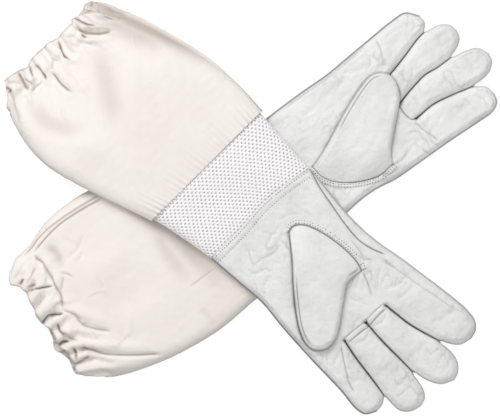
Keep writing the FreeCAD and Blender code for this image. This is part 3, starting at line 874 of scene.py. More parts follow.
def build_mesh_band(glove, mesh_material, lining_material):
    """Perforated polyester between the leather and the canvas: every hole is real."""
    index, little = glove.shapes["sleeve_index"][0], glove.shapes["sleeve_little"][0]
    wrist = glove.shapes["wrist"]
    start = np.add(wrist[-1], (4, 1.0)), np.add(wrist[0], (4, -1.0))
    end = np.add(little, (-4, 1.2)), np.add(index, (-5, -1.2))
    around = 2 * MESH_CELLS
    t = np.linspace(0, 1, 2 * MESH_ROWS + 1)
    bow = np.sin(t * math.pi) * 0.8
    rings = []
    for k, v in enumerate(t):
        a, b = (p + (q - p) * v for p, q in zip(start, end))
        ring = section(a + [0, bow[k]], b - [0, bow[k]], 11.6 + 1.2 * v, around, 14.0)
        # the leather's edge bends in the middle of the wrist
        place = (ring[:, 1] - a[1]) / (b[1] - a[1])
        ring[:, 0] += (1 - v) * np.interp(place, [0, 0.3, 0.55, 0.85, 1], [0, 0, -4.5, -2.5, 0])
        rings.append(ring)
    s = np.array(rings)
    sway = 0.5 * waves(s.reshape(-1, 3), 30, 31).reshape(s.shape[:2])
    s[:, :, 2] = np.maximum(s[:, :, 2] + sway, 0.1)
    normal = ring_normals(s)
    flat = s.reshape(-1, 3)
    verts = [flat]
    count = s.shape[0] * around
    faces = []
    for r in range(MESH_ROWS):
        c = 2 * np.arange(MESH_CELLS) + (r % 2)
        j, i = 2 * r, c % around
        edge = np.array([(j + dj) * around + (i + di) % around for dj, di in CELL_EDGE]).T
        centre = s[j + 1, (i + 1) % around][:, None, :]
        out = normal[j + 1, (i + 1) % around][:, None, :]
        ring = centre + HOLE_RIM[None, :, None] * (flat[edge] - centre)
        deep = centre + 0.86 * (ring - centre) - 0.9 * out
        verts += [ring.reshape(-1, 3), deep.reshape(-1, 3)]
        first = count + 8 * np.arange(MESH_CELLS)[:, None] + np.arange(8)[None, :]
        second = first + 8 * MESH_CELLS
        count += 16 * MESH_CELLS
        for k in range(8):
            n = (k + 1) % 8
            faces.append(np.column_stack([edge[:, k], edge[:, n], first[:, n], first[:, k]]))
            faces.append(np.column_stack([first[:, k], first[:, n], second[:, n], second[:, k]]))
    v, f = compact(np.vstack(verts), np.vstack(faces))
    band = piece(glove, glove.body("mesh_knit"), v, f, mesh_material)
    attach(band, glove.body("hand"))
    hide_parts(glove.body("mesh_band"))
    lining = tube(glove, "mesh_lining", (s - 1.3 * normal)[::2, ::2], lining_material)
    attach(lining, glove.body("hand"))
    glove.body("mesh_lining")
    glove.body("palm_leather")
    return band


# How far each sleeve stands up: share of its length from the mesh, height
SLEEVE_DEPTH = [(0.0, 13.6), (0.2, 15.5), (0.5, 18.0), (0.72, 23.5), (0.9, 21.0), (1.0, 18.5)]
RINGS, ROUND = 67, 136            # rings of the cloth that is simulated, and places round each
CASING_RINGS = 7                  # rings at the mouth that the elastic holds
FINER = 3                         # rings and places of the finished cloth to one of these
STEPS, BLOWN_STEPS, PASSES = 110, 70, 9
CALM_PASSES = 14


def drape(base, slack, gathers, seed):
    """Lets the cloth tube settle: it is wider than its ring where slack is over 1, its ends are
    sewn down, the elastic holds it in at its gathers, and air inside keeps it open."""
    rings, count = base.shape[:2]
    x = base.reshape(-1, 3).copy()
    ids = np.arange(rings * count).reshape(rings, count)
    around = np.linalg.norm(np.roll(base, -1, axis=1) - base, axis=2) * slack[:, None]
    along = np.linalg.norm(np.diff(base, axis=0), axis=2) * 1.004
    # springs, in batches where no place has two: round the rings, along, across, and two apart
    batches = []

    def join(a, b, rest, strength):
        batches.append((a.ravel(), b.ravel(), rest.ravel(), strength))

    right, right2 = np.roll(ids, -1, axis=1), np.roll(ids, -2, axis=1)
    skew = np.linalg.norm(np.roll(base, -1, axis=1)[1:] - base[:-1], axis=2)
    skew2 = np.linalg.norm(np.roll(base, -1, axis=1)[:-1] - base[1:], axis=2)
    grown = (np.roll(base, -1, axis=1) - base)[:-1]
    grown = (grown ** 2).sum(2) * (slack[:-1, None] ** 2 - 1)
    skew, skew2 = np.sqrt(skew ** 2 + grown), np.sqrt(skew2 ** 2 + grown)
    for k in (0, 1):
        join(ids[:, k::2], right[:, k::2], around[:, k::2], 1.0)
        join(ids[:-1][k::2], ids[1:][k::2], along[k::2], 1.0)
        join(ids[:-1][k::2], right[1:][k::2], skew[k::2], 0.25)
        join(right[:-1][k::2], ids[1:][k::2], skew2[k::2], 0.25)
        pairs = np.isin(np.arange(count) % 4, (2 * k, 2 * k + 1))
        for part, strength in ((slice(0, rings - 14), 0.35), (slice(rings - 14, rings), 0.09)):
            join(ids[part][:, pairs], right2[part][:, pairs], 2 * around[part][:, pairs], strength)
        pairs = np.isin(np.arange(rings - 2) % 4, (2 * k, 2 * k + 1))
        join(ids[:-2][pairs], ids[2:][pairs], along[:-1][pairs] * 2, 0.2)

    held = ids[-CASING_RINGS:, gathers].ravel()
    held_at = base[-CASING_RINGS:, gathers].copy()
    middle = base[-CASING_RINGS:].mean(1)[:, None, :]
    held_at += (middle - held_at) * np.array([0.0, 0.05, 0.20])
    held_at[:, :, 0] += 1.2
    held_at = held_at.reshape(-1, 3)
    sides = np.concatenate([ids[:, 0], ids[:, count // 2]])
    side_at = np.concatenate([base[:, 0], base[:, count // 2]])
    start, start_at = ids[:2].ravel(), base[:2].reshape(-1, 3)
    flat = x.copy()
    x += 0.5 * np.column_stack([np.zeros(len(x)), waves(x, 26, seed + 1), waves(x, 22, seed + 2)])
    upper = np.zeros(len(x), bool)
    upper[ids[:, 2:count // 2 - 1].ravel()] = True
    lower = ~upper
    # the wide part of the sleeve hangs together; the end of it gives way to the gathers
    firm = np.array([0.004, 0.012, 0.030]) * np.repeat(
        1.0 - 0.85 * ease((np.arange(rings) / rings - 0.70) / 0.2), count)[:, None]
    speed = np.zeros_like(x)
    for step in range(STEPS):
        before = x.copy()
        normal = ring_normals(x.reshape(rings, count, 3)).reshape(-1, 3)
        # drag, the air inside and the cloth's weight; the mouth is drawn outwards a little
        speed = speed * 0.90 + normal * (0.045 if step < BLOWN_STEPS else 0.015) - [0, 0, 0.012]
        speed[ids[-3:].ravel(), 0] -= 0.05
        x = x + speed + (flat - x) * firm
        for _ in range(PASSES):
            for a, b, rest, strength in batches:
                gap = x[b] - x[a]
                size = np.sqrt((gap * gap).sum(1))
                move = gap * (0.5 * strength * (size - rest) / np.maximum(size, 1e-6))[:, None]
                x[a] += move
                x[b] -= move
            # sewn to the mesh, held by the elastic, and the sides near their outline
            x[start] = start_at
            x[held] += (held_at - x[held]) * 0.8
            x[sides, :2] += (side_at[:, :2] - x[sides, :2]) * 0.35
        # above the table, and the upper side above the lower
        x[:, 2] = np.maximum(x[:, 2], 0.35)
        x[upper, 2] = np.maximum(x[upper, 2], flat[upper, 2] * 0.42)
        x[lower, 2] = np.minimum(x[lower, 2], np.maximum(flat[lower, 2], 4.5))
        speed = np.clip(x - before, -1.5, 1.5)
    return x.reshape(rings, count, 3)


# Folds of the sleeves: points, half-width, height, darkness and how wide the darkness is. The
# darkness is painted shade in folds, tucks, hollows and on slopes, and a painted cast shadow; on
# seam lines it is also the dark seam.
LEFT_FOLDS = [
    ([(-262, -65), (-253, -68), (-241, -72)], 1.5, -2.0, 0.7),
    ([(-254, -67), (-248, -65), (-241, -64)], 1.2, -1.2, 0.45),
    ([(-258, -55), (-253, -56), (-248, -59)], 1.3, -1.6, 0.65),
    ([(-254, -48), (-243, -51), (-235, -52)], 1.6, -2.4, 0.9),
    ([(-238, -56), (-239, -62), (-237, -70)], 1.6, -1.2, 0.35),
    ([(-245, -34), (-237, -42)], 1.6, -1.2, 0.3),
    ([(-237, -43), (-223, -45), (-209, -44)], 2.0, -2.2, 0.65),
    ([(-238, -37), (-224, -38.5), (-208, -41)], 3.0, 1.0),
    ([(-256, -17), (-246, -21), (-238, -23), (-232, -23)], 1.5, -2.4, 0.9),
    ([(-252, -6), (-243, -11), (-238, -13)], 3.0, -1.0, 0.12, 2.5),
    ([(-252, 5), (-245, 5), (-239, 8), (-231, 15), (-222, 26)], 1.7, -2.4, 0.65),
    ([(-242, 2), (-236, 4)], 1.6, -1.6, 0.75),
    ([(-236, 0), (-228, 9), (-216, 22)], 4.0, 1.8),
    ([(-254, 10), (-246, 11), (-240, 15), (-237, 17)], 1.2, -1.6, 0.65),
    ([(-256, 15), (-248, 22), (-243, 27), (-238, 35), (-228, 42)], 1.8, -1.8, 0.4),
    ([(-256, 32), (-250, 32), (-246, 30)], 1.2, -1.4, 0.6),
    ([(-257, 20), (-252, 25), (-245, 28)], 1.4, -1.2, 0.4),
    ([(-260, -81), (-256, -75), (-249, -70)], 2.0, -1.2, 0.25),
    ([(-257, -86), (-253, -83), (-251, -87)], 1.0, -1.2, 0.8),
    ([(-252, -82), (-240, -92), (-224, -101)], 3.5, -1.4, 0.2),
    # the darkness of the next entries is painted shade: the top slope facing away from the light,
    # and broad hollows
    ([(-300, 22), (-250, 37), (-220, 45), (-190, 56), (-160, 66), (-118, 75)], 15.0, -4.2, 0.52,
     10.0),
    ([(-255, 22), (-225, 32), (-200, 40), (-170, 54)], 10.0, -1.0, 0.32, 10.0),
    ([(-230, 12), (-196, 16), (-160, 2)], 9.0, 2.6),
    ([(-226, 4), (-192, -14), (-150, -42)], 9.0, -3.0, 0.20, 9.0),
    ([(-236, -79), (-200, -80), (-172, -60)], 9.0, -2.8, 0.20, 8.0),
    ([(-205, -88), (-175, -74), (-140, -62)], 12.0, 1.6),
]
RIGHT_FOLDS = [
    ([(-257, -76), (-250, -79)], 1.2, -1.4, 0.7),
    ([(-254, -73), (-243, -76), (-234, -80)], 1.6, -1.2, 0.25),
    ([(-256, -67), (-245, -63), (-236, -59), (-230, -57)], 1.5, -2.2, 0.7),
    ([(-254, -70), (-243, -67)], 1.2, -1.2, 0.5),
    ([(-229, -92), (-226, -75), (-228, -60), (-230, -44), (-237, -33)], 1.7, -2.2, 0.5),
    ([(-251, -37), (-245, -34), (-238, -30)], 1.4, -2.0, 0.8),
    ([(-260, -34), (-253, -36), (-248, -37)], 1.3, -1.8, 0.8),
    ([(-249, -26), (-252, -18), (-250, -10)], 1.5, -2.2, 0.9),
    ([(-237, -33), (-230, -21), (-230, -12), (-222, 0), (-211, 11)], 2.2, -2.4, 0.45),
    ([(-232, -38), (-224, -20), (-206, 6)], 5.0, 1.8),
    ([(-251, -17), (-247, -8), (-241, 0)], 1.8, -1.4, 0.35),
    ([(-260, -7), (-254, -8), (-247, -4)], 1.3, -1.8, 0.8),
    ([(-251, 1), (-251, 9), (-255, 13)], 1.5, -1.8, 0.8),
    ([(-257, 16), (-248, 17), (-241, 18)], 1.3, -1.6, 0.7),
    ([(-247, 5), (-237, 14), (-228, 25), (-214, 37), (-186, 57)], 2.2, -2.4, 0.5),
    ([(-240, 2), (-214, 27), (-186, 47)], 5.0, 1.8),
    ([(-214, -93), (-210, -78), (-216, -64)], 6.0, -2.6, 0.30, 4.0),
    ([(-263, 26), (-257, 32), (-251, 36)], 1.8, -1.2, 0.9, 1.5),
    ([(-218, -63), (-213, -58), (-210, -52)], 1.4, -0.9, 0.28),
    ([(-217, -58), (-228, -48)], 1.6, -1.2, 0.3),
    ([(-205, -70), (-190, -72), (-178, -80)], 2.0, -0.7, 0.1),
    ([(-200, -62), (-188, -66)], 1.6, -0.6, 0.1),
    ([(-128, 44), (-128, 67)], 4.0, -0.9, 0.10, 3.0),
    ([(-126, 21.3), (-92, 20.8)], 1.0, -0.6, 0.25),
    ([(-205, -50), (-175, -42), (-146, -50)], 14.0, 2.4),
    ([(-206, -12), (-170, -2), (-140, -14)], 14.0, -1.8),
    # painted shadow cast by the upper glove along its lower edge
    ([(-134, -96), (-114, -45), (-104, 0), (-98, 40)], 8.0, -1.2, 0.36, 9.0),
    ([(-118, -50), (-124, -14), (-124, 20)], 7.0, -1.6, 0.20, 7.0),
    ([(-143, -97), (-163, -99.5), (-192, -101), (-227, -95)], 1.0, -0.9, 0.55),
    ([(-143, -101), (-163, -103), (-190, -105), (-213, -104), (-237, -97)], 1.0, -0.7, 0.45),
]


def sleeve_rings(shapes):
    """The flat sleeve as a grid of rings, and each ring's share of the way to the mouth."""
    index = resample(curve(shapes["sleeve_index"], 2), RINGS)
    little = resample(curve(shapes["sleeve_little"], 2), RINGS)
    share = np.linspace(0, 1, RINGS)
    depth = np.interp(share, *np.array(SLEEVE_DEPTH).T)
    depth = np.convolve(np.pad(depth, 6, mode="edge"), np.hanning(15)[1:-1] / 7, mode="valid")
    base = np.array([section(little[k], index[k], depth[k], ROUND) for k in range(RINGS)])
    # the end of the cuff isn't straight
    across = np.linspace(-1, 1, ROUND // 2)
    bulge = np.concatenate([across, across[::-1]])
    base[:, :, 0] -= ease((share - 0.6) / 0.4)[:, None] * 2.5 * (1 - bulge ** 2)[None, :]
    return base, share


def settled_sleeve(shapes, seed, generator):
    """The sleeve's cloth once it has settled, where the elastic gathers it, and how many of the
    gathers are above; those below are at random."""
    base, share = sleeve_rings(shapes)
    slack = 1.0 + 0.03 * ease((share - 0.7) / 0.2) + 0.15 * ease((share - 0.87) / 0.06)
    gathers = [int(np.abs(base[-1, :ROUND // 2, 1] - y).argmin()) for y in shapes["gathers"]]
    shown_gathers = len(gathers)
    while gathers[-1] < ROUND - 14:
        gathers.append(max(gathers[-1], ROUND // 2 - 4) + int(generator.integers(6, 12)))
    gathers = np.array(gathers)
    cloth = drape(base, slack, gathers, seed)
    # the wide part has no small ripples
    still = (1 - ease((share[1:-1] - 0.72) / 0.14))[:, None, None]
    for _ in range(CALM_PASSES):
        cloth[1:-1] += 0.25 * still * (cloth[2:] + cloth[:-2] - 2 * cloth[1:-1])
    return refine(cloth, FINER), gathers, shown_gathers


class Canvas:
    """What stands up from the settled cloth, and its painted shade: grids with a row for each ring.
    """

    def __init__(self, cloth, seed):
        self.seed, self.shape, self.flat = seed, cloth.shape[:2], cloth.reshape(-1, 3)
        count = self.shape[1]
        self.along = lengths(cloth[:, count // 4])[:, None]
        self.to_mouth = self.along[-1] - self.along
        self.place = np.arange(count)[None, :]
        self.turn = self.place / count
        self.height, self.dark = np.zeros(self.shape), np.zeros(self.shape)

    def waves(self, size, seed, *more):
        return waves(self.flat, size, self.seed + seed, *more).reshape(self.shape)

    def darken(self, depth):
        self.dark = np.maximum(self.dark, depth)

    def pucker(self):
        """Puckers where the canvas is sewn to the mesh, with painted shade in their hollows."""
        turn = self.turn
        phase = 2 * math.pi * turn * 58 + 2.5 * np.sin(2 * math.pi * turn * 5 + self.seed)
        strength = 0.30 + 0.55 * bell(np.minimum(turn, np.abs(0.5 - turn)) / 0.07)
        strength = strength * (0.7 + 0.5 * np.sin(2 * math.pi * turn * 11 + self.seed))
        pucker = np.exp(-self.along / 9.5) * (strength * np.sin(phase))
        self.height += 1.5 * pucker
        # painted shade in the pucker hollows
        self.darken(0.42 * np.clip(-pucker, 0, 1))

    def swell(self):
        """Slow swells, and the slight unevenness of washed canvas."""
        to_mouth = self.to_mouth
        swell = self.waves(52, 4, (1.6, 1.0), 0.3)
        self.height += 1.5 * swell * (ease(self.along / 50) * ease(to_mouth / 40 + 0.2))
        self.height += 0.14 * self.waves(6.5, 3)
        dent = np.abs(self.waves(9, 6, (1.6, 1.0)))
        self.height -= 0.7 * bell(dent / 0.3) * ease((40 - to_mouth) / 20)
        # small sharp creases further in, where the canvas has been gathered before
        ridge = np.abs(self.waves(15, 12, (1.4, 1.0), 0.5))
        patch = ease(self.waves(24, 13) * 1.5 + 0.1)
        patch = patch * (ease((85 - to_mouth) / 30) * ease((to_mouth - 14) / 12))
        self.height += 0.55 * patch * bell(ridge / 0.11)
        # painted shade beside the creases
        self.darken(0.09 * patch * bell((ridge - 0.12) / 0.06))

    def gather(self, gathers, shown_gathers, generator):
        """A puff of the hem between each two gathers, and below, a sharp tuck at each gather."""
        count, to_mouth = self.shape[1], self.to_mouth
        tucks = np.append(gathers, ROUND + gathers[0]) * (count / ROUND)
        for k, (low, high) in enumerate(zip(tucks[:-1], tucks[1:])):
            q = ((self.place - low) % count) / (high - low)
            puff = np.clip(np.sin(math.pi * np.clip(q, 0, 1)), 0, 1) ** 0.8
            grow = generator.uniform(1.0, 2.2)
            reach = generator.uniform(17, 23)
            self.height += grow * ease((reach - to_mouth) / 7.0) * puff
            if k < shown_gathers:
                continue
            # the tuck wanders a little as it runs in from the mouth
            lean = generator.uniform(-5, 5)
            length = generator.uniform(14, 25)
            sharp = generator.uniform(0.4, 1.0)
            at = low + lean * to_mouth / 20 + 1.2 * np.sin(to_mouth / generator.uniform(2.5, 5))
            gap = np.abs((self.place - at + count / 2) % count - count / 2)
            self.height -= 2.0 * sharp * (bell(gap / 1.7) * ease((length - to_mouth) / 7.0))
            # painted shade in the tuck
            self.darken((0.35 + 0.5 * sharp) * bell(gap / 1.1) * ease((length - to_mouth) / 6.0))

    def press(self, folds):
        """The folds, on the side that shows, and their painted shade."""
        shown = np.zeros(self.shape)
        shown[:, 4:self.shape[1] // 2 - 3] = 1.0
        for points, width, height, *darkness in folds:
            line = curve(points, 3.0)
            total = lengths(line)[-1]
            soft = min(10.0, total * 0.3) if width < 5 else total * 0.45
            far, taper = (values.reshape(self.shape)
                          for values in tapered(self.flat[:, :2], line, soft, 0.2))
            taper = taper * shown
            self.height += height * taper * bell(far / width)
            if len(darkness) == 1:
                darkness = [min(1.0, 1.3 * darkness[0]), 0.95]
            if darkness:
                self.darken(darkness[0] * taper * bell(far / darkness[1]))

    def darken_edges(self):
        """Painted shade on the rim of the mouth, and on the folded sides where they turn away from
        the light.
        """
        self.darken(0.45 * bell(self.to_mouth / 0.8))
        from_side = np.minimum(np.abs((self.turn + 0.5) % 1 - 0.5), np.abs(self.turn - 0.5))
        self.darken(0.5 * bell(from_side * self.shape[1] / 2.6))


def fit_mouth(cloth, canvas, shapes):
    """The mouth keeps to its outline, with the lower side a little further out in places."""
    mouth = np.array(shapes["mouth"], float)
    order = mouth[:, 1].argsort()
    target = np.interp(cloth[-1, :, 1], mouth[order, 1], mouth[order, 0])
    under = 1.6 * waves(cloth[-1], 16, canvas.seed + 8) - 0.8
    under -= shapes["under"] * bell(cloth[-1, :, 1] / 22)
    target += np.where(canvas.place[0] > canvas.shape[1] / 2, under, 0)
    cloth[:, :, 0] += (target - cloth[-1, :, 0])[None, :] * ease(1 - canvas.to_mouth / 26)
    cloth[:, :, 2] = np.maximum(cloth[:, :, 2], 0.25)


def turned_in(hem):
    """Rings that go on from the mouth, where the hem folds in on itself."""
    normal = calm(ring_normals(hem))
    mouth, out = hem[-1], normal[-1]
    forward = np.array([-1.0, 0, 0])
    lips = [mouth + forward * past - out * sunk
            for past, sunk in ((0.6, 0.4), (0.8, 1.1), (0.4, 1.8))]
    inner = [hem[-k] - normal[-k] * 2.3 for k in range(3, len(hem), 2)]
    lips = np.array(lips + inner)
    lips[:, :, 2] = np.maximum(lips[:, :, 2], 0.6)
    return lips


def build_sleeve(glove, folds, canvas, elastic_material, seed):
    """The canvas sleeve, its folded hem and the elastic that gathers it."""
    generator = np.random.default_rng(seed)
    cloth, gathers, shown_gathers = settled_sleeve(glove.shapes, seed, generator)
    count = cloth.shape[1]
    relief = Canvas(cloth, seed)
    relief.pucker()
    relief.swell()
    relief.gather(gathers, shown_gathers, generator)
    relief.press(folds)
    relief.darken_edges()
    cloth = cloth + ring_normals(cloth) * relief.height[:, :, None]
    fit_mouth(cloth, relief, glove.shapes)
    dark = relief.dark
    # the edge on the mesh is turned under, and darkened there as painted shade
    normal = ring_normals(cloth)
    tuck = cloth[0] - normal[0] * 1.4
    cloth = np.concatenate([tuck[None], cloth[:1] - normal[:1] * 0.4, cloth])
    dark = np.concatenate([dark[:1] + 0.3, dark[:1] + 0.15, dark])
    split = (RINGS - CASING_RINGS) * FINER + 2
    body, hem = cloth[:split + 1], cloth[split:]
    lips = turned_in(hem)
    whole = np.concatenate([hem, lips])
    normals = face_normals(glove.to_row(np.concatenate([cloth, lips]).reshape(-1, 3)),
                           glove.facing(grid_faces(len(cloth) + len(lips), count)))
    # the inside of the hem is darkened as painted shade
    dark = np.concatenate([dark, np.full((len(lips), count), 0.18)]).reshape(-1)
    body_end, hem_start = (split + 1) * count, split * count
    sleeve = tube(glove, "sleeve_canvas", body, canvas, normals=normals[:body_end],
                  crease=dark[:body_end])
    hem_obj = tube(glove, "hem_canvas", whole, canvas, normals=normals[hem_start:],
                   crease=dark[hem_start:])
    base_point, ahead = hinge(glove.body("cuff_fold"),
                              glove.to_row(whole.reshape(-1, 3)).mean(0))
    glove.body("hand")
    glove.body("cuff")
    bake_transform(sleeve)
    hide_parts(glove.body("canvas_sleeve"), glove.body("sleeve_end"))
    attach(hem_obj, glove.body("cuff"))
    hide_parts(glove.body("hem_casing"))
    # elastic inside the hem
    inside_hem = hem[3:-3]
    sunk = 1.15 + 0.12 * (np.arange(len(inside_hem)) % 2)
    ribs = inside_hem - calm(ring_normals(inside_hem)) * sunk[:, None, None]
    ribs[:, :, 2] = np.maximum(ribs[:, :, 2], 0.4)
    band = tube(glove, "elastic_ribbed", ribs, elastic_material)
    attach(band, glove.body("cuff"))
    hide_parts(glove.body("elastic_band"))
    glove.body("mesh_knit")
    return sleeve


# ---------------------------------------------------------------- thread
def surface(objects):
    """Where a straight look down on the objects lands."""
    verts, faces = [], []
    for obj in objects:
        first = len(verts)
        verts += [v.co.copy() for v in obj.data.vertices]
        faces += [[first + i for i in p.vertices] for p in obj.data.polygons]
    tree = BVHTree.FromPolygons(verts, faces)

    def drop(point):
        hit = tree.ray_cast(Vector((point[0], point[1], 0.3)), Vector((0, 0, -1)))
        return (np.array(hit[0]), np.array(hit[1])) if hit[0] is not None else (None, None)
    return drop


def capsule():
    """One stitch 1 long and 1 thick along X, as vertices and quads."""
    ring = [(math.cos(a), math.sin(a)) for a in np.arange(6) * math.pi / 3]
    stations = [(-0.5, 0.25), (-0.42, 0.42), (0.0, 0.5), (0.42, 0.42), (0.5, 0.25)]
    verts = [(x, r * c, r * s) for x, r in stations for c, s in ring]
    return np.array(verts), grid_faces(len(stations), len(ring))


def stitches(glove, lines, drop, pitch=2.7, length=1.9, thick=0.62):
    """Vertices and quads of a row of stitches on each line, and of dark discs between them, painted
    shade of the needle holes.
    """
    shape, quads = capsule()
    verts, faces, holes, hole_faces = [], [], [], []
    octagon = np.array([(math.cos(a), math.sin(a), 0) for a in np.arange(8) * math.pi / 4])
    for line in lines:
        places = resample(line, max(2, int(lengths(line)[-1] / pitch) + 1))
        row = glove.to_row(np.column_stack([places, np.zeros(len(places))]))
        run = np.gradient(row, axis=0)
        for k in range(len(row)):
            at, up = drop(row[k])
            if at is None:
                continue
            x = run[k] - up * (run[k] @ up)
            x /= max(np.linalg.norm(x), 1e-9)
            y = np.cross(up, x)
            frame_axes = np.array([x, y, up])
            body = shape * np.array([length, thick, thick * 0.8]) * MM
            verts.append(at + up * 0.00005 + body @ frame_axes)
            faces.append(quads + len(shape) * (len(verts) - 1))
            # each needle hole is a flat dark disc: painted shade
            hole = octagon * np.array([0.42, 0.55, 1]) * MM
            holes.append(at + up * 0.00012 + (hole + [pitch / 2 * MM, 0, 0]) @ frame_axes)
            hole_faces.append(np.array([[0, 1, 2, 3], [0, 3, 4, 7], [4, 5, 6, 7]])
                              + 8 * (len(holes) - 1))
    return (np.vstack(verts), np.vstack(faces)), (np.vstack(holes), np.vstack(hole_faces))


def sew(glove, name, lines, targets, body, thread, shadow, replaces=(), **sizes):
    """Rows of stitches, and dark discs of painted shade for their needle holes, as two pieces on the
    targets.
    """
    drop = surface(targets)
    both = stitches(glove, lines, drop, **sizes)
    for suffix, (verts, faces), material in (("", both[0], thread), ("_holes", both[1], shadow)):
        obj = piece(glove, glove.body(name + suffix), verts, faces, material, local=False)
        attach(obj, glove.body(body))
        if replaces and not suffix:
            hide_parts(*[glove.body(part) for part in replaces])


# ---------------------------------------------------------------- materials
class Nodes:
    """A Principled material whose colour and relief come from procedural nodes."""

    def __init__(self, name, roughness, **sockets):
        self.material = bpy.data.materials.new(name)
        self.material.use_nodes = True
        self.tree = self.material.node_tree
        self.shader = self.tree.nodes["Principled BSDF"]
        self.shader.inputs["Roughness"].default_value = roughness
        for socket, value in sockets.items():
            self.shader.inputs[socket.replace("_", " ")].default_value = value
        self.places = self.add("ShaderNodeTexCoord").outputs["Object"]

    def add(self, kind, **settings):
        node = self.tree.nodes.new(kind)
        for key, value in settings.items():
            setattr(node, key, value)
        return node

    def link(self, a, b):
        self.tree.links.new(a, b)

    def turned(self, angle):
        node = self.add("ShaderNodeMapping")
        node.inputs["Rotation"].default_value = (0, 0, angle)
        self.link(self.places, node.inputs["Vector"])
        return node.outputs["Vector"]

    def noise(self, size, detail=3.0, where=None):
        """Noise with hills about `size` metres across."""
        node = self.add("ShaderNodeTexNoise")
        node.inputs["Scale"].default_value = 1 / size
        node.inputs["Detail"].default_value = detail
        self.link(where or self.places, node.inputs["Vector"])
        return node.outputs["Fac"]

    def cells(self, size, feature="F1"):
        node = self.add("ShaderNodeTexVoronoi", feature=feature)
        node.inputs["Scale"].default_value = 1 / size
        self.link(self.places, node.inputs["Vector"])
        return node.outputs["Distance"]

    def bands(self, size, direction, where):
        node = self.add("ShaderNodeTexWave", wave_type="BANDS", bands_direction=direction)
        node.inputs["Scale"].default_value = 1 / size / 3.1416
        node.inputs["Distortion"].default_value = 0.6
        node.inputs["Detail"].default_value = 1.0
        node.inputs["Detail Scale"].default_value = 2.0
        self.link(where, node.inputs["Vector"])
        return node.outputs["Fac"]

    def ramp(self, factor, stops):
        node = self.add("ShaderNodeValToRGB")
        ramp = node.color_ramp
        while len(ramp.elements) < len(stops):
            ramp.elements.new(0.5)
        for element, (place, colour) in zip(ramp.elements, stops):
            element.position, element.color = place, (*colour, 1)
        self.link(factor, node.inputs["Fac"])
        return node.outputs["Color"]

    def math(self, operation, a, b):
        node = self.add("ShaderNodeMath", operation=operation)
        for k, value in enumerate((a, b)):
            if isinstance(value, (int, float)):
                node.inputs[k].default_value = value
            else:
                self.link(value, node.inputs[k])
        return node.outputs[0]

    def multiply(self, a, b, factor=1.0):
        node = self.add("ShaderNodeMix", data_type="RGBA", blend_type="MULTIPLY")
        node.inputs[0].default_value = factor
        self.link(a, node.inputs[6])
        self.link(b, node.inputs[7])
        return node.outputs[2]

    def colour(self, value):
        self.link(value, self.shader.inputs["Base Color"])

    def creased(self, colour, deep):
        """The colour, mixed towards a deep colour by the mesh's mask: painted shade in folds, slits
        and hollows, and dark seam lines.
        """
        layer = self.add("ShaderNodeAttribute", attribute_name="crease")
        node = self.add("ShaderNodeMix", data_type="RGBA")
        self.link(layer.outputs["Fac"], node.inputs[0])
        self.link(colour, node.inputs[6])
        node.inputs[7].default_value = (*deep, 1)
        self.colour(node.outputs[2])

    def relief(self, layers):
        """Bump from (height, strength, metres) layers."""
        last = None
        for height, strength, distance in layers:
            node = self.add("ShaderNodeBump")
            node.inputs["Strength"].default_value = strength
            node.inputs["Distance"].default_value = distance
            self.link(height, node.inputs["Height"])
            if last is not None:
                self.link(last, node.inputs["Normal"])
            last = node.outputs["Normal"]
        self.link(last, self.shader.inputs["Normal"])


def grey(level):
    return level, level, level


def leather_material():
    m = Nodes("leather_grey_white", 0.58, Specular_IOR_Level=0.32, Sheen_Weight=0.06)
    base = m.ramp(m.noise(0.028, 4.0), [(0.30, (0.70, 0.703, 0.695)), (0.52, (0.765, 0.765, 0.755)),
                                        (0.74, (0.80, 0.80, 0.785))])
    pores = m.ramp(m.cells(0.0011), [(0.05, grey(0.90)), (0.42, grey(1.0))])
    # near-black painted shade for folds, slits and the thumb's edge, also the colour of the dark
    # seam lines
    m.creased(m.multiply(base, pores, 0.6), (0.11, 0.11, 0.12))
    grain = m.cells(0.0013, "SMOOTH_F1")
    m.relief([(m.noise(0.007, 5.0), 0.85, 0.0016), (grain, 0.45, 0.00022),
              (m.noise(0.0005, 2.0), 0.25, 0.0001)])
    return m.material


def canvas_material(name, heading):
    m = Nodes(name, 0.86, Specular_IOR_Level=0.18, Sheen_Weight=0.18, Sheen_Roughness=0.6)
    where = m.turned(-heading)
    warp, weft = m.bands(0.00062, "X", where), m.bands(0.00062, "Y", where)
    weave = m.math("MULTIPLY", warp, weft)
    slub = m.noise(0.004, 4.0, where)
    base = m.ramp(m.noise(0.05, 3.0), [(0.3, (0.855, 0.802, 0.758)), (0.7, (0.892, 0.850, 0.812))])
    fine = m.ramp(weave, [(0.0, (0.93, 0.92, 0.90)), (0.6, grey(1.0))])
    # warm brown painted shade for folds, hollows, slopes and the cast shadow
    m.creased(m.multiply(base, fine, 0.7), (0.20, 0.135, 0.09))
    m.relief([(slub, 0.3, 0.0004), (weave, 0.5, 0.00018), (m.noise(0.0004), 0.2, 0.0001)])
    return m.material


def mesh_material():
    m = Nodes("mesh_white", 0.62, Specular_IOR_Level=0.3, Sheen_Weight=0.15)
    base = m.ramp(m.noise(0.03, 2.0), [(0.3, (0.915, 0.89, 0.895)), (0.7, (0.955, 0.93, 0.935))])
    yarn = m.ramp(m.noise(0.0006, 3.0), [(0.3, (0.93, 0.93, 0.94)), (0.7, grey(1.0))])
    m.colour(m.multiply(base, yarn, 1.0))
    m.relief([(m.noise(0.0007, 3.0), 0.5, 0.0002)])
    return m.material


def plain_material(name, low, high, size, roughness, bump=0.4):
    m = Nodes(name, roughness, Specular_IOR_Level=0.25)
    m.colour(m.ramp(m.noise(size, 3.0), [(0.3, low), (0.7, high)]))
    m.relief([(m.noise(size * 0.5, 3.0), bump, 0.0002)])
    return m.material


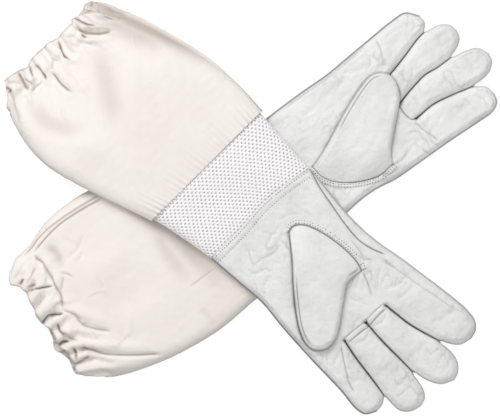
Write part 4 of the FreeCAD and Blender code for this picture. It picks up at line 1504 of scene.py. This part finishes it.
# ---------------------------------------------------------------- putting it together
leather = leather_material()
knit = mesh_material()
lining = plain_material("mesh_lining", (0.82, 0.795, 0.815), (0.88, 0.855, 0.875), 0.002, 0.8)
elastic = plain_material("elastic_ribbed", (0.70, 0.68, 0.64), (0.80, 0.78, 0.74), 0.0012, 0.75)
thread = plain_material("thread_grey", grey(0.70), grey(0.82), 0.0004, 0.6)
# near-black discs: painted shade of the needle holes
shadow = plain_material("needle_holes", (0.10, 0.10, 0.11), (0.17, 0.17, 0.18), 0.0005, 0.9, 0.1)


def build_glove(glove, relief, folds, seed):
    canvas = canvas_material("canvas_cream_" + glove.name, glove.heading)
    hand, palm = build_hand(glove, relief, leather)
    build_thumb(glove, hand, leather)
    band = build_mesh_band(glove, knit, lining)
    sleeve = build_sleeve(glove, folds, canvas, elastic, seed)
    # rows of stitches
    wrist = hand.wrist
    sew(glove, "wrist_stitch", [beside(wrist, 1.5)[3:-3], beside(wrist, 7.3)[3:-3]],
        [palm], "hand", thread, shadow, replaces=["wrist_topstitch"])
    sew(glove, "thumb_stitch", [beside(hand.seam, 1.9)[2:-1], beside(hand.seam, 4.3)[2:-1]],
        [palm], "hand", thread, shadow)
    gather_line = curve([(-67.8, -75), (-68.2, 0), (-66, 64)], 2.0)
    sew(glove, "gather_stitch", [gather_line], [sleeve, band], "hand", thread, shadow,
        replaces=["gathering_stitch"], length=2.0, thick=0.5)


left = Glove("left", 1, True, LEFT_SHAPES)
right = Glove("right", -1, False, RIGHT_SHAPES)
build_glove(left, LEFT_RELIEF, LEFT_FOLDS, 41)
build_glove(right, RIGHT_RELIEF, RIGHT_FOLDS, 53)

# ---------------------------------------------------------------- floor, light and camera
bpy.ops.mesh.primitive_plane_add(size=6.0, location=(0, 0, -0.0004))
floor = bpy.context.object
floor.name = "floor"
floor_look = Nodes("floor_white", 0.9, Specular_IOR_Level=0.0)
floor_look.colour(floor_look.ramp(floor_look.noise(0.8), [(0.0, grey(0.13)),
                                                          (1.0, grey(0.15))]))
floor_look.shader.inputs["Emission Color"].default_value = (1, 1, 1, 1)
floor_look.shader.inputs["Emission Strength"].default_value = 0.91
floor.data.materials.append(floor_look.material)
floor.visible_diffuse = False

world = bpy.data.worlds.new("studio")
world.use_nodes = True
sky = world.node_tree
sky.nodes["Background"].inputs["Strength"].default_value = 0.63
ramp = sky.nodes.new("ShaderNodeValToRGB")
for element, height, level in zip(ramp.color_ramp.elements, (0.0, 0.35), (0.36, 1.0)):
    element.position, element.color = height, (*grey(level), 1)
split = sky.nodes.new("ShaderNodeSeparateXYZ")
sky.links.new(sky.nodes.new("ShaderNodeTexCoord").outputs["Generated"], split.inputs[0])
sky.links.new(split.outputs["Z"], ramp.inputs["Fac"])
sky.links.new(ramp.outputs["Color"], sky.nodes["Background"].inputs["Color"])
bpy.context.scene.world = world


def area_light(name, place, power, size):
    data = bpy.data.lights.new(name, "AREA")
    data.energy, data.size = power, size
    lamp = bpy.data.objects.new(name, data)
    lamp.location = place
    lamp.rotation_mode = "QUATERNION"
    lamp.rotation_quaternion = (-Vector(place)).to_track_quat("-Z", "Y")
    bpy.context.scene.collection.objects.link(lamp)


area_light("key", (-0.9, 1.3, 1.5), 27.0, 0.9)
area_light("fill", (1.2, -0.6, 1.8), 6.0, 1.6)

CENTRE = Vector((-0.0024, -0.0034, 0.008))
VIEW_WIDTH = 0.480
DISTANCE = 2.6
SENSOR = 36.0    # millimetres
camera_data = bpy.data.cameras.new("camera")
camera_data.sensor_width = SENSOR
camera_data.lens = SENSOR * DISTANCE / VIEW_WIDTH
camera = bpy.data.objects.new("camera", camera_data)
camera.location = CENTRE + Vector((0, 0, DISTANCE))
camera_data.clip_end = 20
bpy.context.scene.collection.objects.link(camera)
bpy.context.scene.camera = camera
bpy.context.scene.view_settings.view_transform = "Standard"
bpy.context.view_layer.update()
